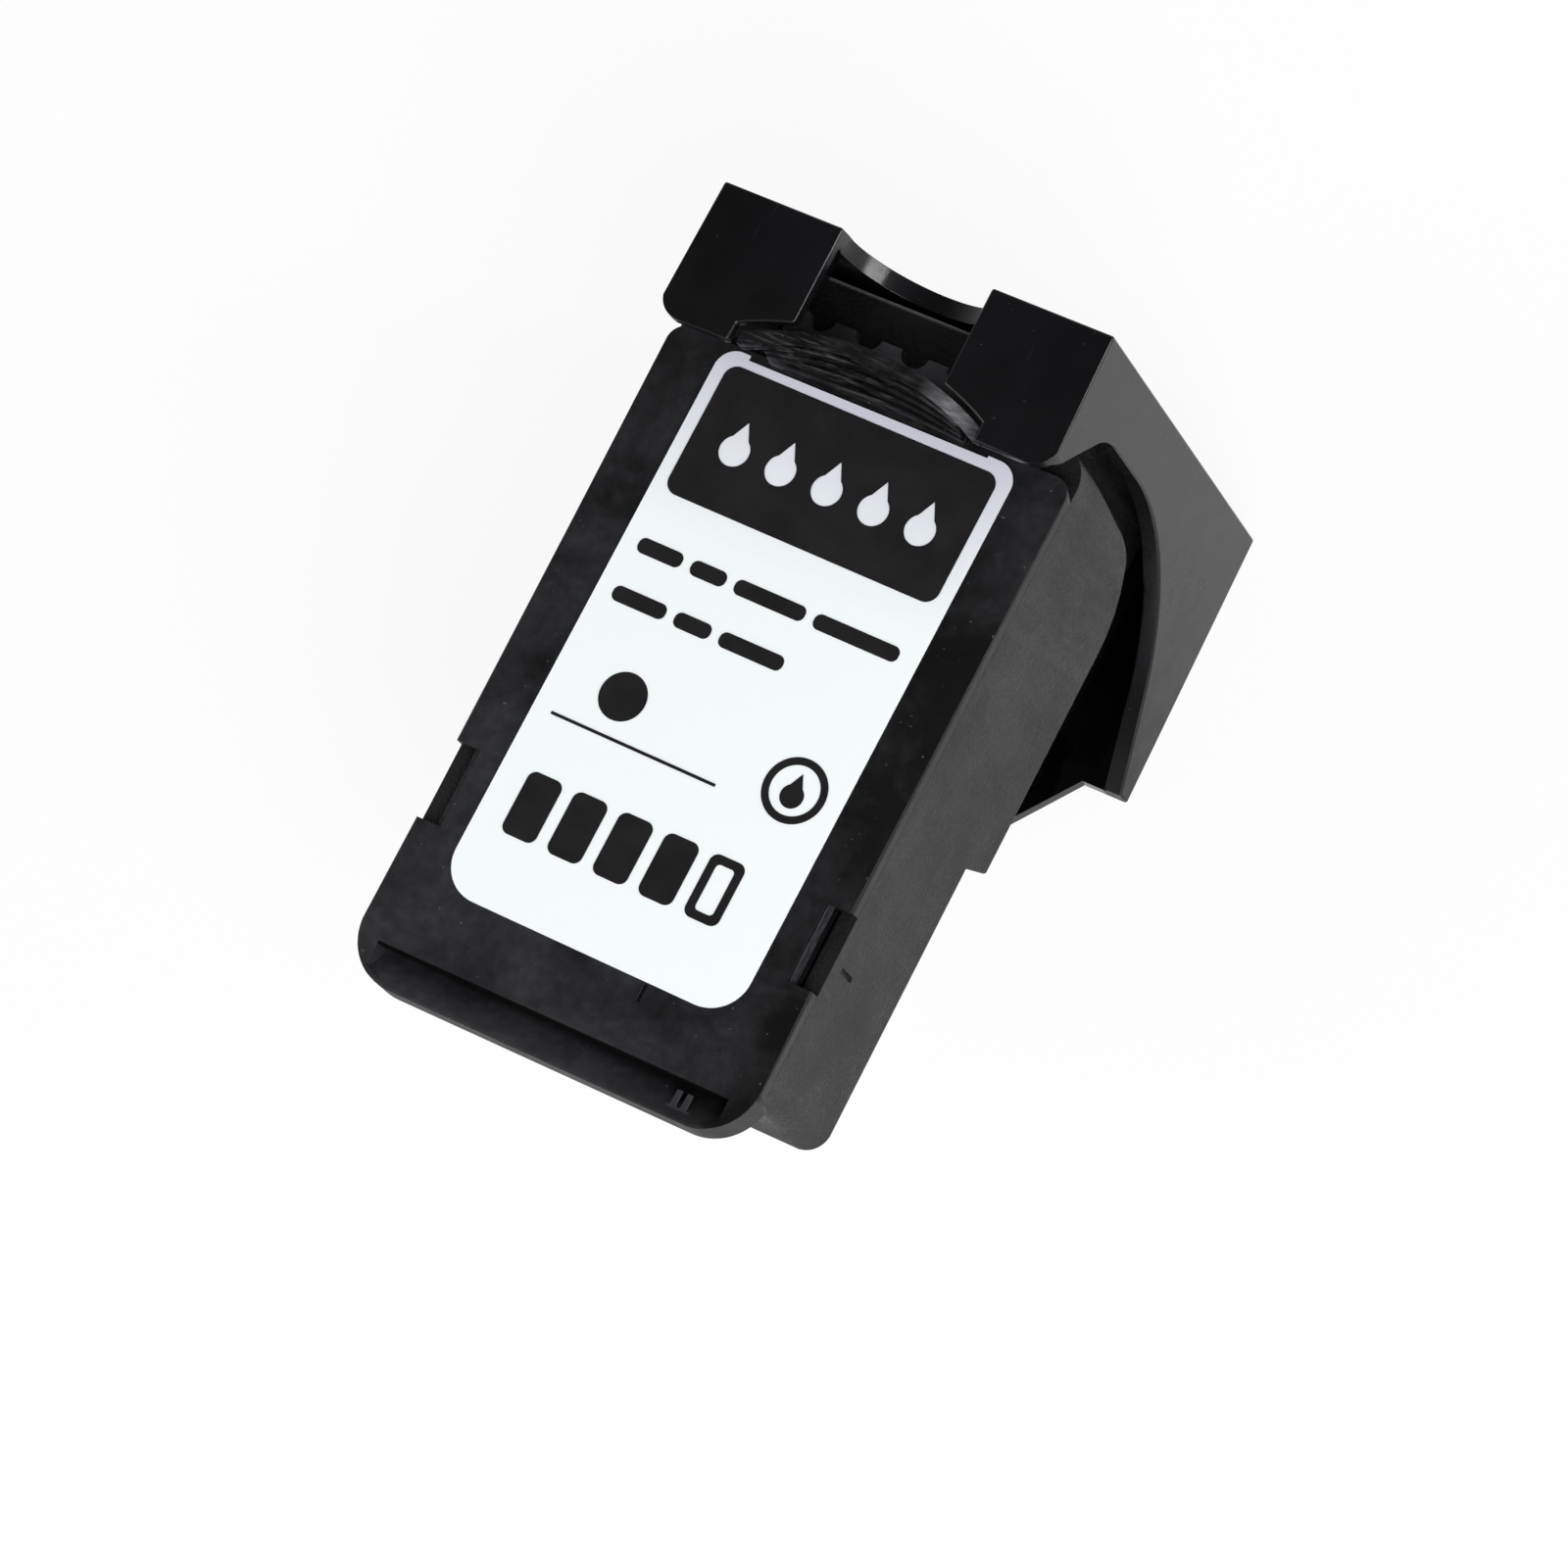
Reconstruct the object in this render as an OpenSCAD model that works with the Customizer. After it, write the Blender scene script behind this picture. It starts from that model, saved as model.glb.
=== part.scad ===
// Inkjet ink cartridge with its transport clip, label side up, standing on the clip's base.
// Each piece is drawn from the lid: y runs back from the front lip, z is the height above the lid's face.
// in_place() then puts the origin under the middle of the whole part, on the surface that it stands on.

/* [Lid] */
// Width of the lid and of the tank under it
body_w = 35; // [32:0.5:40]
// Length of the lid, from the front lip to its rear edge
lid_l = 55.4; // [53:0.2:60]
// Thickness of the lid plate
lid_t = 1.25; // [1:0.05:1.8]
// Corner radius at the front of the lid
lid_front_r = 4.5; // [3:0.5:6]
// Corner radius at the back of the lid
lid_rear_r = 1.5; // [0.5:0.25:2.5]
// Height of the front lip
lip_h = 2.8; // [2.4:0.1:5]
// How far the front lip stands out past the tank
lip_reach = 3.9; // [3.5:0.1:5]
// Height of the rim under the lid that locates it in the tank
rim_h = 1.2; // [0.8:0.1:2]
// Thickness of that rim
rim_t = 1; // [0.8:0.1:1.5]

/* [Finger groove] */
// Length of the groove across the front of the lid
groove_w = 31; // [24:0.2:31]
// Distance from the front edge back to the groove's step
groove_y = 3.1; // [2.6:0.1:3.4]
// Depth of the groove at its step
groove_depth = 1.6; // [0.6:0.1:1.6]
// Width of land left in front of the groove
groove_land = 0.5; // [0.2:0.05:0.6]
// Length over which the groove fades out at each end
groove_fade = 0.4; // [0.2:0.1:4]
// Width of each of the two mould marks in the groove
mark_w = 0.5; // [0.3:0.05:0.6]
// Length of a mould mark
mark_l = 1.8; // [1:0.1:2]
// Place of the mould marks, right of the middle
mark_x = 12.1; // [9:0.1:12.5]

/* [Mould marks] */
// Distance of the lid's gate mark from the front edge
gate_y = 6.9; // [5:0.1:7.2]
// Place of the gate mark, right of the middle
gate_x = 5.5; // [0:0.1:12]
// Length of the gate mark
gate_l = 1.4; // [0.8:0.1:1.6]
// Width and depth of the gate mark
gate_w = 0.25; // [0.15:0.05:0.4]

/* [Side pockets] */
// Length of the pocket in each side of the lid
pocket_l = 6.5; // [5:0.1:8]
// How far a pocket reaches in from the lid's side
pocket_in = 1.7; // [1:0.05:2]
// Width of the shallow strip on the inner side of a pocket
strip_w = 0.5; // [0.4:0.05:1]
// Depth of that strip
strip_depth = 0.5; // [0.3:0.1:0.8]
// Distance from the front edge to the pockets
pocket_y = 12.8; // [9:0.1:16]
// Width and depth of the small upright recess in the tank's side under a pocket
nick_w = 0.4; // [0.2:0.1:0.6]
// Height of that recess
nick_h = 2.7; // [1.5:0.1:4]
// Depth of its top below the lid's face
nick_drop = 3.1; // [2:0.1:5]

/* [Thumb grip] */
// Width of the crescent grip at the back of the lid
grip_w = 20.8; // [19:0.2:22]
// Radius of the grip's curved back
grip_r = 24; // [21:0.5:30]
// How far the grip's back reaches past the lid's rear edge
grip_reach = 2.7; // [2:0.1:3]
// How far the grip's straight front lies ahead of the lid's rear edge
grip_lead = 0.7; // [0.5:0.1:1.5]
// Height of the grip's smooth rim above the lid
grip_h = 3.8; // [2.8:0.1:4.4]
// Width of the smooth rim
grip_rim = 1.1; // [0.8:0.1:1.4]
// Height of the rim's two ends, which stand free above the lid
grip_end_h = 1.3; // [1:0.1:2]
// Length of each free end
grip_end_l = 1.6; // [0.5:0.1:2]
// Width of the ridged ramp inside the rim
ridge_w = 17; // [14:0.2:17.4]
// Number of ridges between the rim and the label
ridges = 5; // [3:1:6]
// Height of a ridge
ridge_h = 0.3; // [0.2:0.05:0.5]

/* [Air vent] */
// Radius of the vent hole under the label
vent_r = 0.6; // [0.4:0.1:1]
// Width and depth of the winding vent groove
vent_groove = 0.5; // [0.3:0.1:0.7]
// Length of one pass of the vent groove
vent_run = 9; // [6:0.5:12]
// Number of passes
vent_passes = 5; // [3:1:6]

/* [Tank] */
// Depth of the shallow front of the tank below the lid's face
front_depth = 16; // [14:0.5:18]
// Depth of the deeper back of the tank
rear_depth = 20; // [18.5:0.5:22]
// Distance from the front edge to the step between the two depths
step_y = 28.4; // [24:0.2:31]
// How far the step slopes back on its way down
step_slope = 0.9; // [0.2:0.1:2]
// Radius of the tank's lower back corner
heel_r = 8; // [6:0.5:10]
// How far the tank's back wall leans out from heel to top
back_lean = 1.9; // [0.5:0.1:3]
// Length of the ledge behind the lid, on top of the tank
ledge_l = 2.8; // [2.5:0.1:4]
// Wall thickness of the tank
wall = 1.5; // [1.2:0.1:2]
// Radius of the tank's upright front corners
front_corner_r = 2; // [1:0.25:3]
// Radius of the tank's upright back corners
back_corner_r = 3; // [1:0.2:3]

/* [Head block] */
// Width of the block under the tank that carries the print head
head_w = 22; // [20:0.5:23]
// Distance from the front edge to the head block
head_y = 39.5; // [38:0.5:40]
// Depth of the nozzle face below the lid's face
head_depth = 36; // [33:0.5:40]
// How far the contact block stands out behind the tank
contact_t = 5.4; // [4:0.1:6]
// Radius of the edge that the flexible circuit folds round
fold_r = 1.8; // [1:0.1:2.5]
// How far the contact block's top lies below the ledge
shelf_drop = 1.1; // [0.6:0.1:2]
// Number of scallops in the ledge's back edge
scallops = 4; // [3:1:4]
// Distance between scallops
scallop_pitch = 4.1; // [3.6:0.1:4.5]
// Place of the middle of the scallops, from the middle of the part
scallop_x = -1.2; // [-1.5:0.1:1.5]
// Radius of a scallop
scallop_r = 1.15; // [0.8:0.05:1.3]
// Length of the scalloped tongue behind the ledge
scallop_l = 2; // [1.6:0.1:2.4]

/* [Ink path] */
// Inner radius of the outlet under the foam
outlet_r = 3.6; // [3:0.1:4]
// Wall of the outlet's collar
outlet_wall = 1.2; // [1:0.1:1.4]
// Height of the outlet's collar above the tank's floor
outlet_h = 1.2; // [0.8:0.1:2]
// Distance of the outlet behind the head block's front
outlet_back = 6; // [5.5:0.1:7]
// Thickness of the filter screen
filter_t = 0.3; // [0.2:0.05:0.4]
// Clearance around the foam
foam_gap = 0.3; // [0.2:0.05:0.5]

/* [Print head] */
// Length of the nozzle chip
chip_l = 14; // [12:0.2:15]
// Width of the nozzle chip
chip_w = 4.2; // [3.6:0.1:5]
// Depth of the chip's pocket in the head block
chip_t = 0.6; // [0.4:0.05:0.9]
// Thickness of the flexible circuit
flex_t = 0.15; // [0.1:0.01:0.25]
// Width of the flexible circuit
flex_w = 19; // [16:0.2:20]
// Height that the flexible circuit climbs up the contact face
flex_rise = 24; // [20:0.5:28]
// Height of the sealing beads at the chip's ends
bead_h = 0.3; // [0.2:0.05:0.4]
// Radius of a sealing bead's round back
bead_r = 2; // [1.5:0.1:2.5]
// Rows of contact pads
pad_rows = 8; // [6:1:8]
// Columns of contact pads
pad_cols = 6; // [4:1:6]
// Side of a square contact pad
contact_side = 1.7; // [1.2:0.1:1.9]
// Distance between contact pads
contact_pitch = 2.5; // [2.3:0.1:2.6]
// Thickness of a contact pad
contact_pad_t = 0.06; // [0.04:0.01:0.1]
// Thickness of the tape over the nozzles
tape_t = 0.1; // [0.06:0.01:0.15]
// Width of the tape
tape_w = 11; // [9:0.5:14]
// Length of the tape's pull tab ahead of the head block
tab_l = 6; // [4:0.5:8]

/* [Transport clip] */
// Wall thickness of the clip
clip_wall = 1.5; // [1.2:0.1:1.6]
// How far each of the clip's wings stands out past the tank at its open side
wing_out = 0; // [-0.3:0.1:1]
// How far each wing leans in from its open side to the end wall
wing_lean = 0.5; // [0:0.1:0.8]
// Length of the clip's base plate
base_l = 23.4; // [21:0.2:26]
// Thickness of the base plate
base_t = 1.5; // [1.2:0.1:2]
// Gap between the clip's end wall and the contact face
contact_gap = 0.6; // [0.5:0.1:1.4]
// Gap between the lid and the clip's two ears
ear_gap = 3.7; // [3:0.1:4.5]
// Thickness of an ear
ear_t = 1; // [0.8:0.1:1.3]
// Length of the ears, from the end of the clip
ear_l = 11.3; // [10:0.1:12.5]
// Radius of an ear's free outer corner
ear_r = 2; // [0.5:0.1:2.2]
// Width of the notch between the ears
notch_w = 13; // [11:0.2:14]
// Clearance between the ears and the thumb grip
grip_gap = 0.35; // [0.3:0.05:0.6]
// Length of the clip's pull tongue, ahead of the base plate
tongue_l = 12.4; // [10:0.2:13]
// Width of the tongue where it leaves the base plate
tongue_root_w = 27.4; // [22:0.2:28]
// Width of the tongue at its end
tongue_tip_w = 8; // [6:0.5:12]
// Thickness of the tongue
tongue_t = 1.2; // [1:0.1:1.5]
// Corner radius at the end of the tongue
tongue_r = 2; // [1:0.25:3]

/* [Clip arches] */
// Distance from the end of the clip to the arch's upright edge
arch_back = 5.6; // [4.5:0.1:6.5]
// Radius of the arch's long lower curve
arch_r = 26; // [24:0.5:28]
// Depth of that curve's centre below the lid's face
arch_drop = 12; // [11:0.5:13]
// Angle at which the lower curve runs out straight towards the base
arch_runout = 56.5; // [54:0.5:58]
// Radius of the arch's upper corner
arch_top_r = 6; // [4:0.5:7]
// Depth of that corner's centre below the lid's face
arch_top_drop = 4.8; // [4:0.1:6]
// Slope of the arch's edge from the upper corner to the ear, from the upright
arch_lean = 38; // [34:1:42]

/* [Clip inside] */
// Clearance between the head block and the clip's guide ribs
guide_gap = 0.35; // [0.3:0.05:0.6]
// Height of the guide ribs above the base plate
guide_h = 5; // [3:0.5:7]
// Thickness of the guide ribs and of the ribs under the ears
rib_t = 1.2; // [0.8:0.1:1.5]
// Gap between the ribs under the ears and what they press on
rib_gap = 0.3; // [0.3:0.05:0.5]
// Distance from the middle to each rib under an ear
ear_rib_x = 9.2; // [8:0.1:9.6]
// Thickness of the soft pad under the nozzles
pad_t = 1.35; // [1:0.05:2]
// Length of the soft pad
pad_l = 17; // [14:0.5:19]
// Width of the soft pad
pad_w = 13; // [10:0.5:16]
// Gap between the tape and the soft pad
pad_gap = 0.3; // [0.3:0.05:0.5]

/* [Label] */
// Width of the label
label_w = 26.1; // [22:0.1:28]
// Distance from the front edge to the label
label_y = 8.5; // [6:0.1:11]
// Thickness of the label
label_t = 0.15; // [0.1:0.01:0.25]
// Corner radius at the front of the label
label_front_r = 3.2; // [2:0.1:4]
// Corner radius at the back of the label
label_rear_r = 1.7; // [1:0.1:3]
// Angle by which the label was stuck on askew
label_skew = -0.55; // [-1:0.05:1]
// Thickness of the print on the label
print_t = 0.04; // [0.03:0.01:0.08]
// White border around the printed band
band_border = 1.1; // [0.8:0.1:1.6]
// Length of the printed band
band_l = 11; // [9:0.1:12]
// Corner radius of the printed band
band_r = 1.1; // [0.6:0.1:1.6]
// Number of drops left white in the band
drops = 5; // [3:1:5]
// Radius of a drop
drop_r = 1.25; // [0.8:0.05:1.4]
// Distance between drops
drop_pitch = 4.1; // [3.6:0.1:4.2]

/* [Hidden] */
$fn = 64;
large_fn = 240;
over = 0.5;

// Places along the part, from the front lip
label_past = 0.2;
label_clear = 0.1;
heel_y = lid_l + ledge_l - back_lean;
tank_back_y = lid_l + ledge_l;
contact_y = tank_back_y + contact_t;
clip_in_y = contact_y + contact_gap;
total_l = clip_in_y + clip_wall;
base_y = total_l - base_l;
clip_front_w = body_w + 2 * wing_out;
clip_rear_w = clip_front_w - 2 * wing_lean;
ear_y = total_l - ear_l;
grip_back_y = lid_l + grip_reach;
grip_y = lid_l - grip_lead;
label_end_y = grip_y + label_past;
outlet_y = head_y + outlet_back;
head_mid_y = (head_y + contact_y) / 2;

// Depths below the lid's face
floor_z = -(rear_depth - wall);
bead_z = -(head_depth + flex_t + bead_h);
tape_z = bead_z - tape_t;
pad_z = tape_z - pad_gap;
base_z = pad_z - pad_t - base_t;
ear_z = ear_gap + ear_t;
shelf_z = -lid_t - shelf_drop;

// Print head
chip_pocket_gap = 0.05;
chip_edge = 0.5;
bead_l = 2 * sqrt(bead_r * bead_r - (bead_r - bead_h) * (bead_r - bead_h));
slot_w = 1.6;
slot_h = 1;
plenum_w = 2 * outlet_r - 1;
plenum_h = 2.5;
plenum_lap = 1;
plenum_z = -(head_depth - chip_t - slot_h - plenum_h);
plenum_y = outlet_y - outlet_r + plenum_lap;
filter_seat_w = 0.6;
filter_edge = 0.05;
head_lean = 1;
flex_back = 1.5;
flex_window = 0.2;
bead_past = 0.5;
tab_r = 2;
tape_r = 0.5;

// Lid, ledge and clip details
rim_clear = 0.15;
rim_r = 0.4;
groove_skirt = 0.1;
mark_share = 0.85;
mark_apart = 0.9;
mark_back = 0.9;
nick_place = 0.4;
ridge_base = 0.3;
ridge_share = 0.4;
ridge_run = 1.5;
grip_rim_over = 0.3;
vent_land = 0.6;
scallop_end = 1;
scoop_drop = 0.5;
guide_back = 2;
rib_back = 0.5;
pad_r = 1;

// Label print
text_h = 1.25;
text_r = 0.55;
drop_tip = 1.95;
drop_shoulder = 0.97;
text_gap = 0.8;
text_x = -11.6;
text_y1 = 37.7;
text_y2 = 33.6;
text_line_1 = [3.9, 3.1, 6.2, 7.4];
text_line_2 = [4.7, 3.2, 5.6];
dot_x = -6.8;
dot_y = 27.2;
dot_r = 1.95;
rule_x = -11.4;
rule_y = 23.8;
rule_l = 14.6;
rule_t = 0.25;
ring_x = 9.05;
ring_y = 26;
ring_r = 2.6;
ring_t = 0.6;
ring_drop_r = 0.95;
level_x = -10.6;
level_y = 14.2;
level_w = 3.0;
level_h = 5.2;
level_pitch = 4.05;
level_r = 0.7;
level_line = 0.7;
levels = 5;

module in_place() {
    translate([0, -total_l / 2, -base_z]) children();
}

// A flat outline w wide and l long, centred on x, with its own corner radius at each end
module plate_outline(w, l, front_r, rear_r) {
    polygon([[-w / 2 + front_r, 0], [w / 2 - front_r, 0], [w / 2, front_r], [w / 2, l - rear_r],
             [w / 2 - rear_r, l], [-w / 2 + rear_r, l], [-w / 2, l - rear_r], [-w / 2, front_r]]);
    for (side = [-1, 1]) {
        translate([side * (w / 2 - front_r), front_r]) circle(front_r);
        translate([side * (w / 2 - rear_r), l - rear_r]) circle(rear_r);
    }
}

// Stands a (y, z) outline up and gives it a width across the part
module across(w) {
    rotate([90, 0, 90]) translate([0, 0, -w / 2]) linear_extrude(w) children();
}

// The tank seen from the side
module tank_side() {
    polygon([[lip_reach, -lid_t], [lip_reach, -front_depth], [step_y, -front_depth],
             [step_y + step_slope, -rear_depth], [heel_y - heel_r, -rear_depth],
             [heel_y, heel_r - rear_depth], [tank_back_y, -lid_t]]);
    translate([heel_y - heel_r, heel_r - rear_depth]) circle(heel_r);
}

// The ink room seen from the side, drawn in from the tank's outline by inset
module room_side(inset, top) {
    back = lid_l - inset;
    corner_r = heel_r - inset;
    floor_front = inset - front_depth;
    floor_rear = inset - rear_depth;
    step = step_y + step_slope + inset;
    polygon([[lip_reach + inset, top], [lip_reach + inset, floor_front], [step, floor_front],
             [step, floor_rear], [back - corner_r, floor_rear], [back, floor_rear + corner_r],
             [back, top]]);
    translate([back - corner_r, floor_rear + corner_r]) circle(corner_r);
}

// The block that carries the print head and the contacts, seen from the side
module head_side() {
    polygon([[head_y, floor_z], [head_y + head_lean, -head_depth], [contact_y - fold_r, -head_depth],
             [contact_y, fold_r - head_depth], [contact_y, shelf_z], [heel_y - heel_r, shelf_z],
             [heel_y - heel_r, floor_z]]);
    translate([contact_y - fold_r, fold_r - head_depth]) circle(fold_r);
}

module scalloped_tongue() {
    reach = scallops * scallop_pitch + scallop_end;
    translate([scallop_x, 0, shelf_z]) difference() {
        translate([-reach / 2, heel_y, 0]) cube([reach, tank_back_y + scallop_l - heel_y, shelf_drop]);
        for (i = [0 : scallops - 1])
            translate([(i - (scallops - 1) / 2) * scallop_pitch, tank_back_y + scallop_l, -over])
                cylinder(r = scallop_r, h = shelf_drop + 2 * over);
    }
}

module ink_path() {
    translate([0, outlet_y, plenum_z]) cylinder(r = outlet_r, h = floor_z + outlet_h + over - plenum_z);
    translate([0, outlet_y, floor_z + outlet_h - filter_t])
        cylinder(r = outlet_r + filter_seat_w, h = filter_t + over);
    translate([-plenum_w / 2, plenum_y, plenum_z - plenum_h])
        cube([plenum_w, head_mid_y + chip_l / 2 - chip_edge - plenum_y, plenum_h + plenum_lap]);
    translate([-slot_w / 2, head_mid_y - chip_l / 2 + chip_edge, -head_depth])
        cube([slot_w, chip_l - 2 * chip_edge, plenum_z - plenum_h + head_depth + over]);
    translate([-chip_w / 2 - chip_pocket_gap, head_mid_y - chip_l / 2 - chip_pocket_gap, -head_depth - over])
        cube([chip_w + 2 * chip_pocket_gap, chip_l + 2 * chip_pocket_gap, chip_t + over]);
}

module tank() {
    color("#3f4042") in_place() difference() {
        union() {
            difference() {
                union() {
                    intersection() {
                        across(body_w) tank_side();
                        translate([0, lip_reach, -rear_depth]) linear_extrude(rear_depth)
                            plate_outline(body_w, tank_back_y - lip_reach, front_corner_r, back_corner_r);
                    }
                    across(head_w) head_side();
                }
                across(body_w - 2 * wall) room_side(wall, over);
            }
            scalloped_tongue();
            translate([0, outlet_y, floor_z]) cylinder(r = outlet_r + outlet_wall, h = outlet_h);
        }
        ink_path();
        side_nicks();
    }
}

// The ramp of the finger groove, which fades out at both ends and keeps clear of the lid's round corners
module finger_groove() {
    half = groove_w / 2;
    bottom = half - groove_fade;
    inset = groove_land - groove_skirt;
    intersection() {
        translate([0, inset, -groove_depth - over]) linear_extrude(groove_depth + 3 * over)
            plate_outline(body_w - 2 * inset, lid_l, lid_front_r - inset, lid_rear_r);
        across(groove_w)
            polygon([[groove_land, 0], [groove_land, over], [groove_y, over], [groove_y, -groove_depth]]);
        translate([0, groove_y + over, 0]) rotate([90, 0, 0]) linear_extrude(groove_y + 2 * over)
            polygon([[-half, over], [-half, 0], [-bottom, -groove_depth], [bottom, -groove_depth],
                     [half, 0], [half, over]]);
    }
}

// A pocket through each side of the lid, with a shallow strip along its inner side
module side_pockets() {
    for (side = [0, 1])
        mirror([side, 0, 0]) {
            translate([body_w / 2 - pocket_in, pocket_y, -lid_t - over])
                cube([pocket_in + over, pocket_l, lid_t + 2 * over]);
            translate([body_w / 2 - pocket_in - strip_w, pocket_y, -strip_depth])
                cube([strip_w + over, pocket_l, strip_depth + over]);
        }
}

module side_nicks() {
    for (side = [-1, 1])
        translate([side * body_w / 2 - nick_w, pocket_y + nick_place * pocket_l, -nick_drop - nick_h])
            cube([2 * nick_w, nick_w, nick_h]);
}

// The crescent that the thumb pushes on: a smooth rim, its two ends free, round a ramp of curved ridges
module thumb_grip() {
    pitch = (grip_back_y - grip_rim - grip_y) / ridges;
    rise = (grip_h - grip_rim_over - ridge_h - ridge_base) / (ridges - 1);
    ridge_end = ridge_w / 2 + ridge_run;
    module crescent(r) {
        intersection() {
            translate([0, grip_back_y - grip_r]) circle(r, $fn = large_fn);
            translate([-grip_w / 2, grip_y]) square([grip_w, grip_r]);
        }
    }
    // The arc that ridge i follows, bulging towards the rim, made larger by grow
    module ridge_arc(i, grow) {
        bulge = i * pitch;
        r = (ridge_end * ridge_end + bulge * bulge) / (2 * bulge);
        translate([0, grip_y + bulge - r]) circle(r + grow, $fn = large_fn);
    }
    translate([0, 0, -lid_t]) difference() {
        linear_extrude(lid_t + grip_h) difference() {
            crescent(grip_r);
            crescent(grip_r - grip_rim);
        }
        for (side = [0, 1])
            mirror([side, 0, 0]) translate([grip_w / 2 - grip_end_l, grip_y - over, -over])
                cube([grip_end_l + over, grip_r, lid_t + grip_h - grip_end_h + over]);
    }
    intersection() {
        translate([-ridge_w / 2, grip_y, -lid_t]) cube([ridge_w, grip_r, lid_t + grip_h]);
        translate([0, 0, -lid_t]) union() {
            linear_extrude(lid_t + ridge_base) crescent(grip_r);
            for (i = [1 : ridges - 1]) {
                linear_extrude(lid_t + ridge_base + i * rise) difference() {
                    crescent(grip_r);
                    ridge_arc(i, 0);
                }
                linear_extrude(lid_t + ridge_base + ridge_h + i * rise) difference() {
                    intersection() {
                        crescent(grip_r);
                        ridge_arc(i, ridge_share * pitch);
                    }
                    ridge_arc(i, 0);
                }
            }
        }
    }
}

// A winding groove under the label lets air in to the vent hole
module air_vent() {
    pass_pitch = 2 * vent_groove + vent_land;
    start_y = lid_l / 2;
    translate([-vent_run / 2, start_y, -lid_t - over]) cylinder(r = vent_r, h = lid_t + 2 * over);
    for (i = [0 : vent_passes - 1])
        translate([-vent_run / 2, start_y + i * pass_pitch - vent_groove / 2, -vent_groove]) {
            cube([vent_run, vent_groove, vent_groove + over]);
            translate([i % 2 == 0 ? vent_run - vent_groove / 2 : -vent_groove / 2, 0, 0])
                cube([vent_groove, pass_pitch + vent_groove, vent_groove + over]);
        }
}

module lid() {
    rim_inset = wall + rim_clear;
    color("#28292b") in_place() {
        difference() {
            union() {
                translate([0, 0, -lid_t]) linear_extrude(lid_t)
                    plate_outline(body_w, lid_l, lid_front_r, lid_rear_r);
                intersection() {
                    translate([0, 0, -lip_h]) linear_extrude(lip_h)
                        plate_outline(body_w, lid_l, lid_front_r, lid_rear_r);
                    translate([-body_w / 2, 0, -lip_h]) cube([body_w, lip_reach, lip_h]);
                }
            }
            finger_groove();
            side_pockets();
            air_vent();
            translate([gate_x - gate_w / 2, gate_y, -gate_w]) cube([gate_w, gate_l, gate_w + over]);
        }
        for (shift = [-1, 1])
            translate([mark_x + (shift * mark_apart - 0.5) * mark_w, (groove_y * mark_back - mark_l) / 2,
                       -groove_depth])
                cube([mark_w, mark_l, groove_depth * mark_share]);
        translate([0, 0, -lid_t - rim_h]) linear_extrude(rim_h) difference() {
            translate([0, lip_reach + rim_inset]) plate_outline(body_w - 2 * rim_inset,
                lid_l - lip_reach - 2 * rim_inset, rim_r, rim_r);
            translate([0, lip_reach + rim_inset + rim_t]) plate_outline(body_w - 2 * rim_inset - 2 * rim_t,
                lid_l - lip_reach - 2 * rim_inset - 2 * rim_t, rim_r, rim_r);
        }
        thumb_grip();
    }
}

// The label is turned a little about its own middle, as it was stuck on
module on_label() {
    translate([0, (label_y + label_end_y) / 2, 0]) rotate(label_skew)
        translate([0, -(label_y + label_end_y) / 2, 0]) children();
}

module grip_cut(gap) {
    translate([-grip_w / 2 - gap, grip_y - gap]) square([grip_w + 2 * gap, grip_r]);
}

module label() {
    color("white") in_place() linear_extrude(label_t) difference() {
        on_label() translate([0, label_y])
            plate_outline(label_w, label_end_y - label_y, label_front_r, label_rear_r);
        grip_cut(label_clear);
    }
}

// An ink drop, its point towards the back
module drop(r) {
    tip = drop_tip * r;
    shoulder = drop_shoulder * r;
    circle(r);
    polygon([[-shoulder, 0], [shoulder, 0], [0, tip]]);
}

module rounded_bar(w, h, r) {
    translate([w / 2, 0]) plate_outline(w, h, r, r);
}

// A line of short bars, each set after the ones before it
module bar_line(widths) {
    starts = [for (i = 0, x = 0; i < len(widths); x = x + widths[i] + text_gap, i = i + 1) x];
    for (i = [0 : len(widths) - 1])
        translate([starts[i], 0]) rounded_bar(widths[i], text_h, text_r);
}

module printed_band() {
    band_w = label_w - 2 * band_border;
    translate([0, label_end_y - band_border - band_l]) difference() {
        plate_outline(band_w, band_l, band_r, band_r);
        for (i = [0 : drops - 1])
            translate([(i - (drops - 1) / 2) * drop_pitch, band_l / 2 - drop_r / 2]) drop(drop_r);
    }
}

module level_marks() {
    for (i = [0 : levels - 1])
        translate([level_x + i * level_pitch, level_y]) difference() {
            rounded_bar(level_w, level_h, level_r);
            if (i == levels - 1)
                translate([level_line, level_line])
                    rounded_bar(level_w - 2 * level_line, level_h - 2 * level_line, level_r / 2);
        }
}

module label_print() {
    color("#1d1d1f") in_place() translate([0, 0, label_t]) linear_extrude(print_t) on_label() {
        printed_band();
        translate([text_x, text_y1]) bar_line(text_line_1);
        translate([text_x, text_y2]) bar_line(text_line_2);
        translate([dot_x, dot_y]) circle(dot_r);
        translate([rule_x, rule_y]) square([rule_l, rule_t]);
        translate([ring_x, ring_y]) difference() {
            circle(ring_r);
            circle(ring_r - ring_t);
        }
        translate([ring_x, ring_y - ring_drop_r / 2]) drop(ring_drop_r);
        level_marks();
    }
}

module ink_foam() {
    inset = wall + foam_gap;
    top = -lid_t - rim_h - foam_gap;
    color("#2a2a30") in_place() difference() {
        across(body_w - 2 * inset) room_side(inset, top);
        translate([0, outlet_y, -rear_depth])
            cylinder(r = outlet_r + outlet_wall + foam_gap, h = wall + outlet_h + foam_gap);
    }
}

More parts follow.
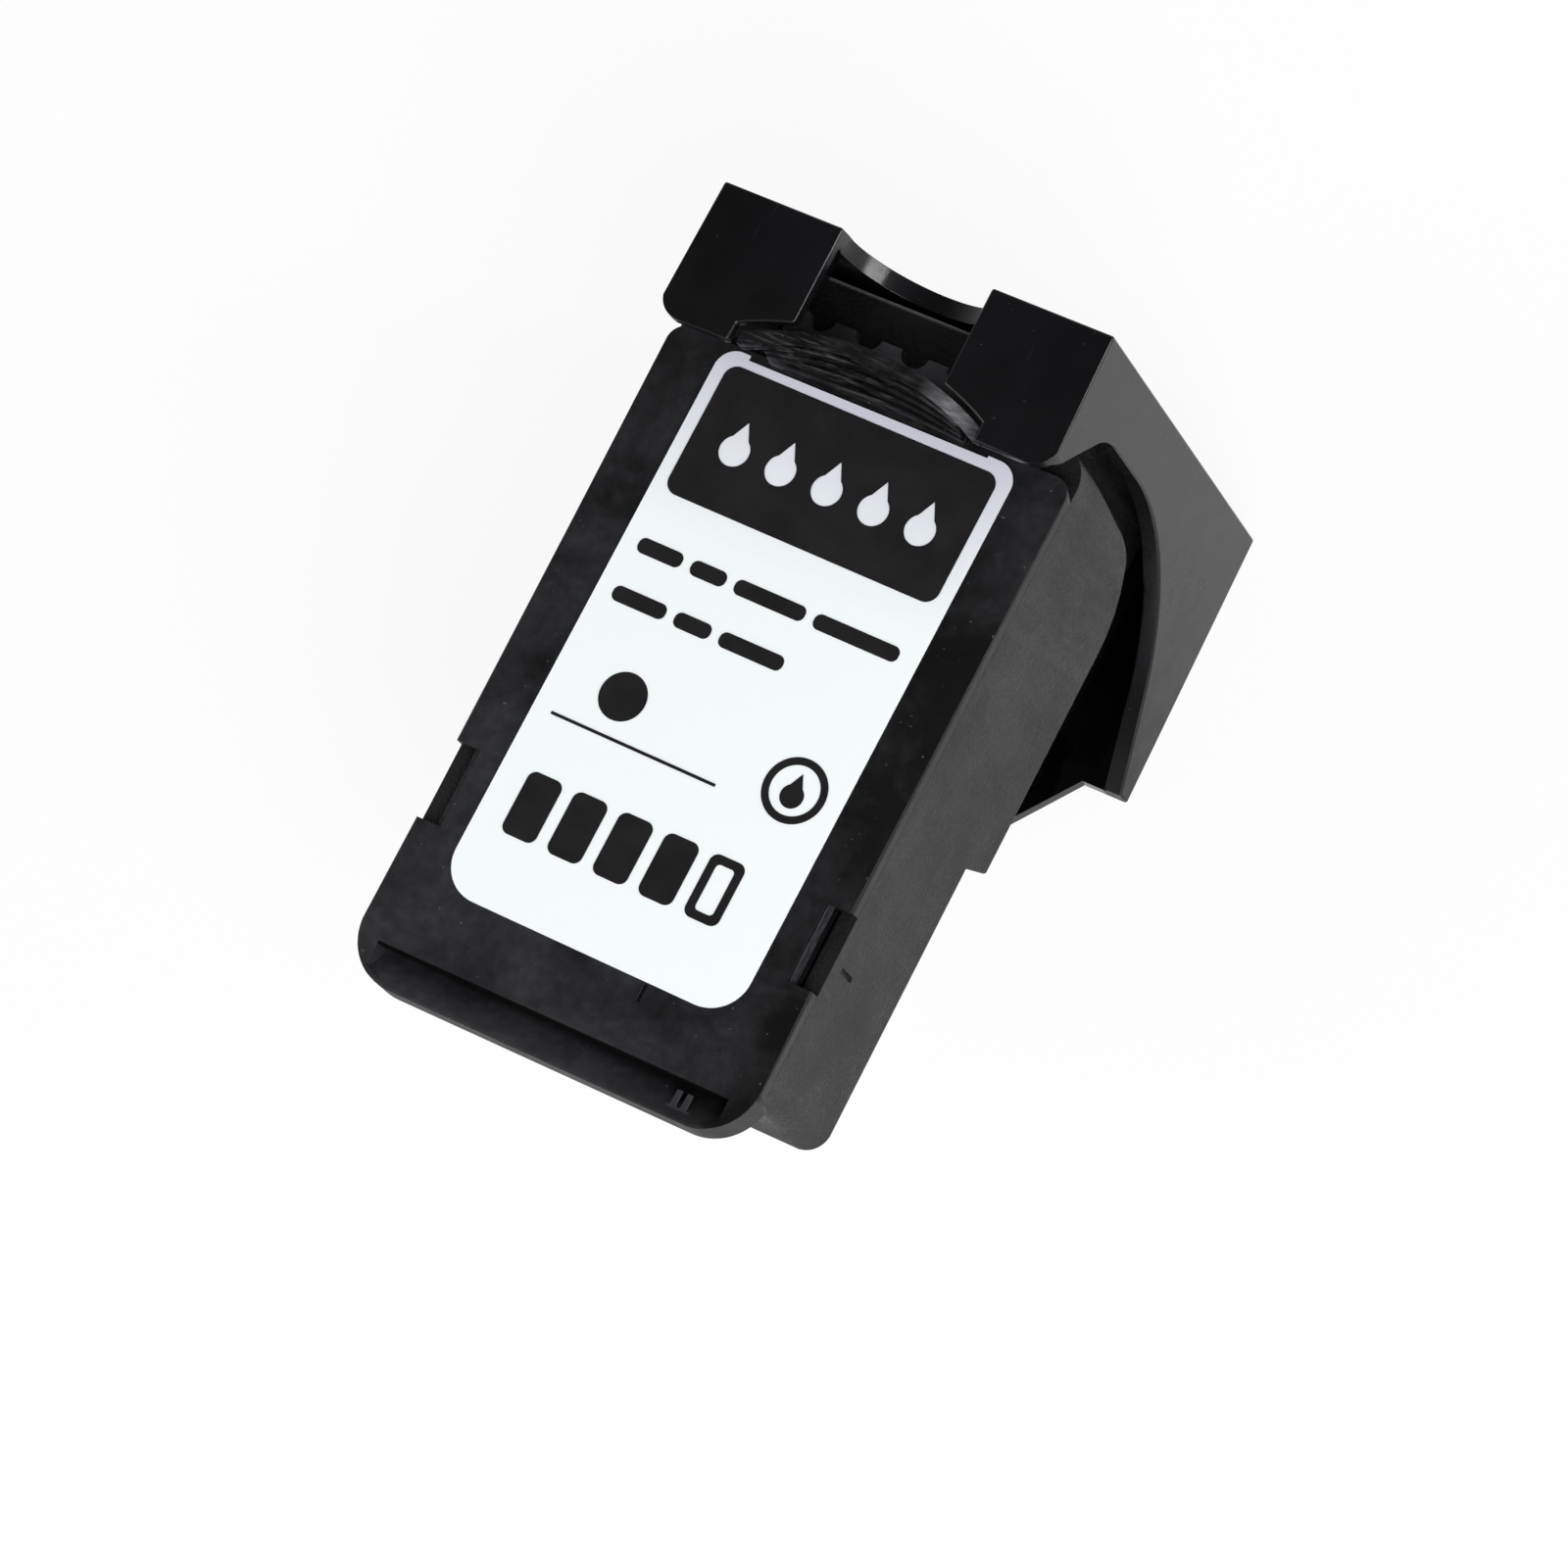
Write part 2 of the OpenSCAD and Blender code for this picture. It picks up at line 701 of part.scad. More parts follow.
module filter_screen() {
    color("silver") in_place() translate([0, outlet_y, floor_z + outlet_h - filter_t])
        cylinder(r = outlet_r + filter_seat_w - filter_edge, h = filter_t);
}

module nozzle_chip() {
    color("#5a6068") in_place() translate([-chip_w / 2, head_mid_y - chip_l / 2, -head_depth - flex_t])
        cube([chip_w, chip_l, chip_t + flex_t]);
}

// The flexible circuit seen from the side: under the head block, round the fold and up the contact face
module flex_side() {
    fold_y = contact_y - fold_r;
    fold_z = fold_r - head_depth;
    difference() {
        union() {
            translate([head_y + flex_back, -head_depth - flex_t])
                square([fold_y - head_y - flex_back, fold_r]);
            translate([fold_y, fold_z]) circle(fold_r + flex_t);
            translate([fold_y + flex_t, fold_z]) square([fold_r, flex_rise - fold_r]);
        }
        translate([fold_y, fold_z]) circle(fold_r);
        translate([head_y, -head_depth]) square([fold_y - head_y, flex_rise + over]);
        translate([fold_y - over, fold_z]) square([fold_r + over, flex_rise + over]);
    }
}

module flex_circuit() {
    color("#b5651d") in_place() difference() {
        across(flex_w) flex_side();
        translate([0, head_mid_y, -head_depth])
            cube([chip_w + 2 * flex_window, chip_l + 2 * flex_window, 2 * (flex_t + over)], center = true);
    }
}

module contact_pads() {
    middle_z = flex_rise / 2 + fold_r - head_depth;
    color("gold") in_place()
        for (col = [0 : pad_cols - 1], row = [0 : pad_rows - 1])
            translate([(col - (pad_cols - 1) / 2) * contact_pitch - contact_side / 2, contact_y + flex_t,
                       middle_z + (row - (pad_rows - 1) / 2) * contact_pitch - contact_side / 2])
                cube([contact_side, contact_pad_t, contact_side]);
}

module sealing_beads() {
    bead_w = chip_w + 2 * bead_past;
    color("#202020") in_place() for (end = [-1, 1])
        intersection() {
            translate([-bead_w / 2, head_mid_y + end * chip_l / 2, bead_z + bead_r]) rotate([0, 90, 0])
                cylinder(r = bead_r, h = bead_w);
            translate([-bead_w / 2, head_mid_y + end * chip_l / 2 - bead_l / 2, bead_z])
                cube([bead_w, bead_l, bead_h]);
        }
}

module nozzle_tape() {
    tape_end_y = contact_y - fold_r;
    color("#3d6fb4") in_place() translate([0, head_y - tab_l, tape_z]) linear_extrude(tape_t)
        plate_outline(tape_w, tape_end_y - head_y + tab_l, tab_r, tape_r);
}

// The clip seen from above: its wings open out a little towards the front
module clip_outline(inset, from_y, to_y) {
    taper = (clip_front_w - clip_rear_w) / 2 / base_l;
    function half_w(y) = clip_rear_w / 2 + (total_l - y) * taper - inset;
    polygon([[-half_w(from_y), from_y], [half_w(from_y), from_y],
             [half_w(to_y), to_y], [-half_w(to_y), to_y]]);
}

// What is open in the side of the clip, drawn from the side
module arch_opening() {
    edge_y = total_l - arch_back;
    centre = [edge_y - arch_r, -arch_drop];
    run = [centre[0] + arch_r * cos(arch_runout), centre[1] - arch_r * sin(arch_runout)];
    run_z = run[1] - (run[0] - base_y + over) / tan(arch_runout);
    top = [edge_y - arch_top_r, -arch_top_drop];
    lean = [top[0] + arch_top_r * cos(arch_lean), top[1] + arch_top_r * sin(arch_lean)];
    ear_under = [lean[0] - (ear_gap - lean[1]) * tan(arch_lean), ear_gap];
    translate(centre) circle(arch_r, $fn = large_fn);
    translate(top) circle(arch_top_r);
    polygon([[base_y - over, run_z], run, centre, [edge_y, -arch_drop], [edge_y, top[1]], lean, ear_under,
             [base_y - over, ear_gap]]);
}

module clip_shell() {
    side_h = ear_z - base_z;
    intersection() {
        translate([0, 0, base_z]) linear_extrude(side_h) difference() {
            clip_outline(0, base_y, total_l);
            clip_outline(clip_wall, base_y - over, clip_in_y);
        }
        across(clip_front_w + 2 * over) difference() {
            translate([base_y, base_z]) square([base_l, side_h]);
            arch_opening();
            translate([base_y - over, -lid_t]) square([ear_y - base_y + over, ear_z + lid_t + over]);
        }
    }
}

// What is cut away to round the free outer corner of each ear
module ear_corners() {
    corner_x = clip_rear_w / 2 + (clip_front_w - clip_rear_w) / 2 * ear_l / base_l;
    for (side = [-1, 1])
        translate([side * (corner_x - ear_r), ear_y + ear_r, -lid_t]) difference() {
            translate([side > 0 ? 0 : -ear_r - over, -ear_r - over, 0])
                cube([ear_r + over, ear_r + over, ear_z + lid_t + over]);
            translate([0, 0, -over]) cylinder(r = ear_r, h = ear_z + lid_t + 3 * over);
        }
}

module ears() {
    translate([0, 0, ear_gap]) linear_extrude(ear_t) difference() {
        clip_outline(0, ear_y, total_l);
        translate([-notch_w / 2, ear_y - over]) square([notch_w, ear_l + 2 * over]);
        intersection() {
            translate([0, grip_back_y - grip_r]) circle(grip_r + grip_gap, $fn = large_fn);
            translate([-grip_w / 2 - grip_gap, ear_y - over]) square([grip_w + 2 * grip_gap, grip_r]);
        }
    }
}

// The round cut in the end wall, as wide as the notch between the ears
module end_scoop() {
    scoop_r = notch_w / 2;
    translate([0, clip_in_y - over, ear_gap - scoop_drop]) {
        rotate([-90, 0, 0]) cylinder(r = scoop_r, h = clip_wall + 2 * over);
        translate([-scoop_r, 0, 0]) cube([notch_w, clip_wall + 2 * over, ear_z]);
    }
}

// The tongue narrows in two straight sides, which round off into its end
module tongue_outline() {
    tip_y = base_y - tongue_l;
    side_angle = atan2(tongue_l, (tongue_root_w - tongue_tip_w) / 2);
    cut = tongue_r * tan(side_angle / 2);
    end_x = tongue_tip_w / 2 - cut;
    side_x = tongue_tip_w / 2 + cut * cos(side_angle);
    side_y = tip_y + cut * sin(side_angle);
    root_x = tongue_root_w / 2;
    polygon([[-root_x, base_y + over], [-root_x, base_y], [-side_x, side_y], [-end_x, tip_y],
             [end_x, tip_y], [side_x, side_y], [root_x, base_y], [root_x, base_y + over]]);
    for (side = [-1, 1])
        translate([side * end_x, tip_y + tongue_r]) circle(tongue_r);
}

// Two low ribs guide the head block in, and a rib under each ear stiffens the corner of the end wall
module clip_ribs() {
    guide_y = base_y + guide_back;
    ear_rib_y = tank_back_y + scallop_l + rib_back;
    for (side = [0, 1])
        mirror([side, 0, 0]) {
            translate([head_w / 2 + guide_gap, guide_y, base_z + base_t - over])
                cube([rib_t, clip_in_y - guide_y + over, guide_h + over]);
            translate([ear_rib_x - rib_t / 2, ear_rib_y, shelf_z + rib_gap])
                cube([rib_t, clip_in_y - ear_rib_y + over, ear_gap - shelf_z - rib_gap + ear_t / 2]);
        }
}

module transport_clip() {
    color("#1b1c1e") in_place() {
        difference() {
            union() {
                clip_shell();
                translate([0, 0, base_z]) linear_extrude(base_t) clip_outline(0, base_y, total_l);
                ears();
            }
            end_scoop();
            ear_corners();
        }
        translate([0, 0, base_z]) linear_extrude(tongue_t) tongue_outline();
        clip_ribs();
    }
}

module clip_pad() {
    color("#8c8f94") in_place() translate([0, head_mid_y - pad_l / 2, base_z + base_t]) linear_extrude(pad_t)
        plate_outline(pad_w, pad_l, pad_r, pad_r);
}

tank();
lid();
label();
label_print();
ink_foam();
filter_screen();
nozzle_chip();
flex_circuit();
contact_pads();
sealing_beads();
nozzle_tape();
transport_clip();
clip_pad();
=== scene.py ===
import math

import bmesh
import bpy
from mathutils import Matrix, Vector


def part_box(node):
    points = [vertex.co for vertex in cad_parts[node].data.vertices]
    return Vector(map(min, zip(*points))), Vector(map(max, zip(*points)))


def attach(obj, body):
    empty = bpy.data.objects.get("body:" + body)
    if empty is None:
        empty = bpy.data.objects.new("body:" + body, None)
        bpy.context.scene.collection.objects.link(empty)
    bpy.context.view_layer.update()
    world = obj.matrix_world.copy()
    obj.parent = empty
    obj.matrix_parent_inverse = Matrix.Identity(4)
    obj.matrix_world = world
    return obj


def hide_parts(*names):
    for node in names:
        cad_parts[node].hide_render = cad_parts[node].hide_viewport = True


bl_info = {
    "name": "Ink cartridge",
    "version": (1, 0, 0),
    "blender": (4, 5, 0),
    "location": "3D View > Sidebar > Cartridge",
    "description": "Finishes an ink cartridge in its transport clip, piece by piece",
    "category": "Object",
}

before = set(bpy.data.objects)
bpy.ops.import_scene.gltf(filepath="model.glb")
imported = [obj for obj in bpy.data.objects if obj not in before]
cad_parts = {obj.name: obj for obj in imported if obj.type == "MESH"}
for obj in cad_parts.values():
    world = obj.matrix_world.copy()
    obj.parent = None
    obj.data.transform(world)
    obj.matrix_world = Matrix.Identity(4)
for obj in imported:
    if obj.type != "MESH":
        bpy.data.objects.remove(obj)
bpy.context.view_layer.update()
MM = 0.001

LID_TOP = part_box("label")[0].z
LID_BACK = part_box("label")[1].y
LID_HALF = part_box("lid")[1].x
LID_CORNER = 4.5 * MM
GRIP_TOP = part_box("lid")[1].z
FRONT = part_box("lid")[0].y
GROOVE_STEP = FRONT + 3.1 * MM
MARKS_X = 12.1 * MM
STRIP_DEPTH = 0.5 * MM
POCKET_Y = -16.8 * MM
LEDGE = LID_TOP - 1.25 * MM
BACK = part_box("contact_pads")[0].y
TANK_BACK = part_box("tank")[1].y - 5.4 * MM

SHARP = math.radians(32.0)
CREASE = math.radians(36.0)
FLOOR_GLOW = 0.9
MIRRORED_GLOW = 0.3
LENS_MM = 181.15
CAMERA_PLACE = (0.235, -0.09775, 0.5667)
CAMERA_AXES = ((0.8445, 0.453, -0.2857), (-0.3662, 0.8776, 0.3093), (0.3908, -0.1566, 0.907))


# Materials


class Finish:
    """A material with one Principled shader, and short ways to add the nodes that feed it."""

    def __init__(self, name, **constants):
        self.material = bpy.data.materials.new(name)
        self.material.use_nodes = True
        self.nodes = self.material.node_tree.nodes
        self.links = self.material.node_tree.links
        self.shader = self.nodes["Principled BSDF"]
        for socket, value in constants.items():
            self.shader.inputs[socket.replace("_", " ")].default_value = value
        coordinates = self.nodes.new("ShaderNodeTexCoord")
        self.place = coordinates.outputs["Object"]
        self.normal = coordinates.outputs["Normal"]

    def add(self, kind, settings=(), **values):
        """A node with its settings and what feeds its sockets, by name, or by number as in _1."""
        node = self.nodes.new(kind)
        for name, value in dict(settings).items():
            setattr(node, name, value)
        for name, value in values.items():
            key = int(name[1:]) if name[0] == "_" else name.replace("_", " ")
            self.feed(node.inputs[key], value)
        return node

    def feed(self, socket, value):
        if isinstance(value, bpy.types.NodeSocket):
            self.links.new(value, socket)
        else:
            socket.default_value = value

    def set(self, **values):
        """Feeds the shader's own sockets."""
        for name, value in values.items():
            self.feed(self.shader.inputs[name.replace("_", " ")], value)

    def stretched(self, x, y, z, turn=0.0):
        """Object coordinates scaled along each axis, turned about Z."""
        node = self.add("ShaderNodeMapping", Vector=self.place)
        node.inputs["Scale"].default_value = (x, y, z)
        node.inputs["Rotation"].default_value = (0.0, 0.0, turn)
        return node.outputs["Vector"]

    def axis(self, letter):
        """One of the Object coordinates."""
        return self.add("ShaderNodeSeparateXYZ", Vector=self.place).outputs[letter]

    def facing(self, letter):
        """How far the surface faces along one axis."""
        return self.add("ShaderNodeSeparateXYZ", Vector=self.normal).outputs[letter]

    def noise(self, size_mm, detail=3.0, roughness=0.55, distortion=0.0, vector=None):
        return self.add(
            "ShaderNodeTexNoise",
            Vector=vector or self.place,
            Scale=1.0 / (size_mm * MM),
            Detail=detail,
            Roughness=roughness,
            Distortion=distortion,
        ).outputs["Fac"]

    def cells(self, size_mm):
        scale = 1.0 / (size_mm * MM)
        return self.add("ShaderNodeTexVoronoi", Vector=self.place, Scale=scale).outputs["Distance"]

    def bands(self, letter, scale):
        """Straight soft stripes that follow one another along an axis."""
        return self.add(
            "ShaderNodeTexWave", {"bands_direction": letter}, Vector=self.place, Scale=scale
        ).outputs["Fac"]

    def spread(self, value, low, high, to_low=0.0, to_high=1.0):
        """Maps a range of one value on to another, held at both ends."""
        ends = {"_1": low, "_2": high, "_3": to_low, "_4": to_high}
        node = self.add("ShaderNodeMapRange", {"clamp": True}, Value=value, **ends)
        return node.outputs["Result"]

    def math(self, operation, first, second=0.0):
        return self.add("ShaderNodeMath", {"operation": operation}, _0=first, _1=second).outputs[0]

    def all_of(self, *masks):
        """The product of masks: full only where every one of them is."""
        product = masks[0]
        for mask in masks[1:]:
            product = self.math("MULTIPLY", product, mask)
        return product

    def above(self, value, limit):
        return self.math("GREATER_THAN", value, limit)

    def below(self, value, limit):
        return self.math("LESS_THAN", value, limit)

    def near(self, value, middle, reach):
        """Full where a value is within reach of its middle."""
        return self.below(self.math("ABSOLUTE", self.math("SUBTRACT", value, middle)), reach)

    def blend(self, factor, first, second, kind="MIX"):
        """A colour between two colours."""
        node = self.add("ShaderNodeMix", {"data_type": "RGBA", "blend_type": kind}, Factor=factor)
        self.feed(node.inputs[6], first)
        self.feed(node.inputs[7], second)
        return node.outputs[2]

    def relief(self, *layers):
        """Bump layers of (height, depth in mm, strength), one on top of the other."""
        normal = None
        for height, depth_mm, strength in layers:
            depth = depth_mm * MM
            bump = self.add("ShaderNodeBump", Strength=strength, Distance=depth, Height=height)
            if normal:
                self.feed(bump.inputs["Normal"], normal)
            normal = bump.outputs["Normal"]
        self.feed(self.shader.inputs["Normal"], normal)


def tone(colour, factor):
    """A colour made lighter or darker, with its alpha kept."""
    return (colour[0] * factor, colour[1] * factor, colour[2] * factor, 1.0)


def groove_painted_shade(skin):
    """A mask over the groove's step and the corner below it, where shade is painted dark."""
    along, across = skin.axis("Y"), skin.axis("X")
    wide = skin.spread(across, -15.0 * MM, 8.0 * MM, 0.2 * MM, 1.1 * MM)
    reach = skin.math("MULTIPLY", wide, skin.spread(across, 12.8 * MM, 15.8 * MM, 1.0, 0.25))
    behind = skin.spread(skin.math("SUBTRACT", GROOVE_STEP, along), 0.0, reach, 1.0, 0.0)
    ahead = skin.below(along, GROOVE_STEP + 0.1 * MM)
    sunk = skin.spread(skin.axis("Z"), LID_TOP - 0.04 * MM, LID_TOP - 0.1 * MM)
    return skin.all_of(behind, ahead, sunk)


def groove_end_painted_light(skin):
    """A mask over the short walls that close the groove on both sides, where light is painted on.
    """
    across = skin.axis("X")
    inward = skin.spread(skin.math("MULTIPLY", skin.facing("X"), across), -6.0 * MM, -10.5 * MM)
    sunk = skin.below(skin.axis("Z"), LID_TOP - 0.04 * MM)
    outer = skin.above(skin.math("ABSOLUTE", across), 14.0 * MM)
    ahead = skin.below(skin.axis("Y"), GROOVE_STEP - 0.2 * MM)
    return skin.all_of(inward, sunk, outer, ahead)


def groove_marks_painted_light(skin):
    """A mask over the tops of the two mould marks in the groove, where light is painted on."""
    level = skin.near(skin.axis("Z"), LID_TOP - 0.26 * MM, 0.06 * MM)
    ahead = skin.below(skin.axis("Y"), GROOVE_STEP - 0.5 * MM)
    return skin.all_of(skin.near(skin.axis("X"), MARKS_X, MM), level, ahead)


def pocket_strips(skin):
    """A mask over the low strips along the side pockets."""
    side = skin.above(skin.math("ABSOLUTE", skin.axis("X")), LID_HALF - 2.25 * MM)
    level = skin.near(skin.axis("Z"), LID_TOP - STRIP_DEPTH, 0.1 * MM)
    return skin.all_of(side, level, skin.near(skin.axis("Y"), POCKET_Y, 3.4 * MM))


def lid_colour_by_place(skin, props, cloud, mottle):
    """The lid's colour, paler towards the front, on the left and at one rear corner."""
    across, along = skin.axis("X"), skin.axis("Y")
    towards_front = skin.math("MULTIPLY", skin.spread(along, 24.0 * MM, -32.0 * MM), 0.32)
    towards_left = skin.math("MULTIPLY", skin.spread(across, 16.5 * MM, 4.0 * MM), 0.22)
    to_rear = skin.spread(along, 6.0 * MM, 16.0 * MM, -0.1, 0.34)
    rear_corner = skin.math("MULTIPLY", skin.spread(across, 11.0 * MM, 16.0 * MM), to_rear)
    drift = skin.math("ADD", skin.math("ADD", towards_front, towards_left), rear_corner)
    worn = skin.spread(skin.math("ADD", cloud, drift), 0.6, 1.1)
    pores = skin.spread(mottle, 0.35, 0.7, 0.78, 1.18)
    grey = skin.add("ShaderNodeCombineColor", Red=pores, Green=pores, Blue=pores).outputs[0]
    colour = skin.blend(worn, tone(props.lid_colour, 0.3), tone(props.lid_colour, 2.9))
    return skin.blend(1.0, colour, grey, "MULTIPLY")


def grip_scuffs(skin):
    """A mask of flecks along the thumb grip's ridges, fewer on its right and on its rim."""
    height = skin.axis("Z")
    flecks = skin.noise(0.34, detail=3.0, roughness=0.7, vector=skin.stretched(0.14, 1.0, 1.0))
    return skin.all_of(
        skin.spread(height, LID_TOP + 0.2 * MM, LID_TOP + 0.6 * MM),
        skin.spread(flecks, 0.5, 0.68),
        skin.spread(skin.axis("X"), -9.0 * MM, 7.0 * MM, 0.85, 0.35),
        skin.spread(height, GRIP_TOP - 0.2 * MM, GRIP_TOP - 0.1 * MM, 1.0, 0.45),
    )


def rim_end_painted_highlight(skin):
    """A mask over the right end of the grip's rim, where a highlight is painted."""
    across = skin.axis("X")
    streaks = skin.noise(0.3, detail=2.0, vector=skin.stretched(0.25, 1.0, 1.0, turn=0.5))
    return skin.all_of(
        skin.spread(skin.axis("Z"), GRIP_TOP - 0.4 * MM, GRIP_TOP - 0.1 * MM),
        skin.spread(across, 4.5 * MM, 7.5 * MM),
        skin.spread(across, 8.2 * MM, 9.8 * MM, 1.0, 0.5),
        skin.spread(streaks, 0.3, 0.7, 0.35, 1.0),
    )


def lid_plastic(props):
    """Near black satin plastic, clouded and grained, paler towards the front, the left and one rear
    corner, dusty on top, with a scuffed grip. Painted shade darkens the sides and the groove's
    step; painted light lightens the groove's end walls, the mould marks' tops and the pocket
    strips; a painted highlight lies on the grip rim's right end.
    """
    skin = Finish("satin_lid_plastic", Roughness=0.5, IOR=1.46, Specular_IOR_Level=0.2)
    cloud = skin.noise(5.5, detail=4.0, roughness=0.62, distortion=0.4)
    mottle = skin.noise(0.9, detail=3.0)
    # Streaks for the painted highlight on the pocket strips.
    strip_lines = skin.noise(0.2, detail=2.0, vector=skin.stretched(1.0, 0.22, 1.0))
    strips_painted_highlight = skin.all_of(pocket_strips(skin), skin.spread(strip_lines, 0.35, 0.62, 0.3, 1.0))
    specks = skin.spread(skin.noise(0.35, detail=1.0), 0.77, 0.81)
    top_clear_of_painted_shade = skin.spread(skin.facing("Z"), 0.55, 0.82)
    colour = lid_colour_by_place(skin, props, cloud, mottle)
    # Painted shade: faces that don't face up, the sides and rounded edges, darkened to 0.45 of the
    # lid's colour.
    colour = skin.blend(top_clear_of_painted_shade, tone(props.lid_colour, 0.45), colour)
    # Painted light: the groove's end walls, lightened to 2.3 times the lid's colour.
    colour = skin.blend(groove_end_painted_light(skin), colour, tone(props.lid_colour, 2.3))
    # Painted shade: the groove's step and the corner below it, darkened to 0.3 of the lid's colour.
    colour = skin.blend(groove_painted_shade(skin), colour, tone(props.lid_colour, 0.3))
    # Painted light: the mould marks' tops, lightened to 3.8 times the lid's colour.
    colour = skin.blend(groove_marks_painted_light(skin), colour, tone(props.lid_colour, 3.8))
    # Painted highlight: the pocket strips, lightened to 5.2 times the lid's colour in streaks.
    colour = skin.blend(strips_painted_highlight, colour, tone(props.lid_colour, 5.2))
    colour = skin.blend(specks, colour, tone(props.dust_colour, 1.0))
    colour = skin.blend(grip_scuffs(skin), colour, tone(props.scuff_and_highlight_colour, 1.0))
    # Painted highlight: the rim's right end, lightened to 2.1 times the scuff colour in streaks.
    skin.set(Base_Color=skin.blend(rim_end_painted_highlight(skin), colour, tone(props.scuff_and_highlight_colour, 2.1)))
    sideways = skin.math("ABSOLUTE", skin.facing("X"))
    smoother = skin.math("MULTIPLY", skin.spread(sideways, 0.6, 0.9), 0.2)
    skin.set(Roughness=skin.math("SUBTRACT", skin.spread(cloud, 0.3, 0.75, 0.42, 0.6), smoother))
    fine_grain = skin.noise(0.22, detail=2.0)
    skin.relief((fine_grain, 0.02, 0.35), (mottle, 0.05, 0.3), (cloud, 0.12, 0.25))
    return skin.material


def tank_plastic(props):
    """Dark grey plastic, grained and drag-marked on its sides, smooth and darker on top, with
    painted shade on the flat at the back under the clip, painted light on the fin tips beside it
    and a painted highlight along the contact block's top rear edge.
    """
    skin = Finish("grained_tank_plastic", Roughness=0.6, IOR=1.47, Specular_IOR_Level=0.235)
    grain = skin.noise(0.28, detail=2.0, roughness=0.5)
    drag = skin.noise(1.3, detail=4.0, roughness=0.7, vector=skin.stretched(1.0, 1.0, 0.14))
    cloud = skin.noise(7.0, detail=3.0)
    clouded = skin.spread(cloud, 0.3, 0.7)
    along, height = skin.axis("Y"), skin.axis("Z")
    to_clip = skin.spread(along, -12.0 * MM, 20.0 * MM)

    streaks = skin.all_of(skin.spread(drag, 0.42, 0.64), skin.spread(to_clip, 0.0, 1.0, 0.35, 1.0))
    sides = skin.blend(streaks, tone(props.tank_colour, 0.7), tone(props.tank_colour, 2.1))
    grained = skin.spread(grain, 0.35, 0.68, 0.0, 0.5)
    sides = skin.blend(grained, sides, tone(props.tank_colour, 1.8))
    # Painted shade: the flat at the back under the clip, darkened to 0.3 to 0.8 of the lid's
    # colour.
    shelf_painted_shade = skin.all_of(
        skin.spread(skin.facing("Z"), 0.6, 0.9),
        skin.above(height, LEDGE - 2.0 * MM),
        skin.above(along, BACK - 7.0 * MM),
    )
    shelf_painted_shade_colour = skin.blend(clouded, tone(props.lid_colour, 0.3), tone(props.lid_colour, 0.8))
    sides = skin.blend(shelf_painted_shade, sides, shelf_painted_shade_colour)

    top = skin.blend(clouded, tone(props.lid_colour, 0.7), tone(props.lid_colour, 1.3))
    # Painted light: the fin tips at the back, lightened to 9 times the lid's colour, less on the
    # left.
    tongue_painted_light = skin.math(
        "MULTIPLY",
        skin.spread(along, BACK - 5.6 * MM, BACK - 4.8 * MM),
        skin.spread(skin.axis("X"), -5.5 * MM, -1.5 * MM, 0.25, 1.0),
    )
    top = skin.blend(tongue_painted_light, top, tone(props.lid_colour, 9.0))
    on_top = skin.spread(height, LEDGE - 0.12 * MM, LEDGE - 0.04 * MM)
    # Painted highlight: a thin line along the contact block's top rear edge, at 1.2 times the scuff
    # colour.
    edge = skin.math(
        "MULTIPLY",
        skin.spread(along, BACK - 0.5 * MM, BACK - 0.25 * MM),
        skin.spread(height, LEDGE - 1.4 * MM, LEDGE - 1.2 * MM),
    )
    colour = skin.blend(on_top, sides, top)
    skin.set(Base_Color=skin.blend(edge, colour, tone(props.scuff_and_highlight_colour, 1.2)))

    worn = skin.math("MULTIPLY", skin.math("ADD", cloud, drag), 0.5)
    gloss = skin.spread(worn, 0.34, 0.64, 0.44, 0.72)
    skin.set(Roughness=skin.math("ADD", gloss, skin.spread(grain, 0.3, 0.7, -0.12, 0.12)))
    skin.relief((grain, 0.1, 1.0), (skin.math("MULTIPLY", drag, to_clip), 0.12, 0.5))
    return skin.material


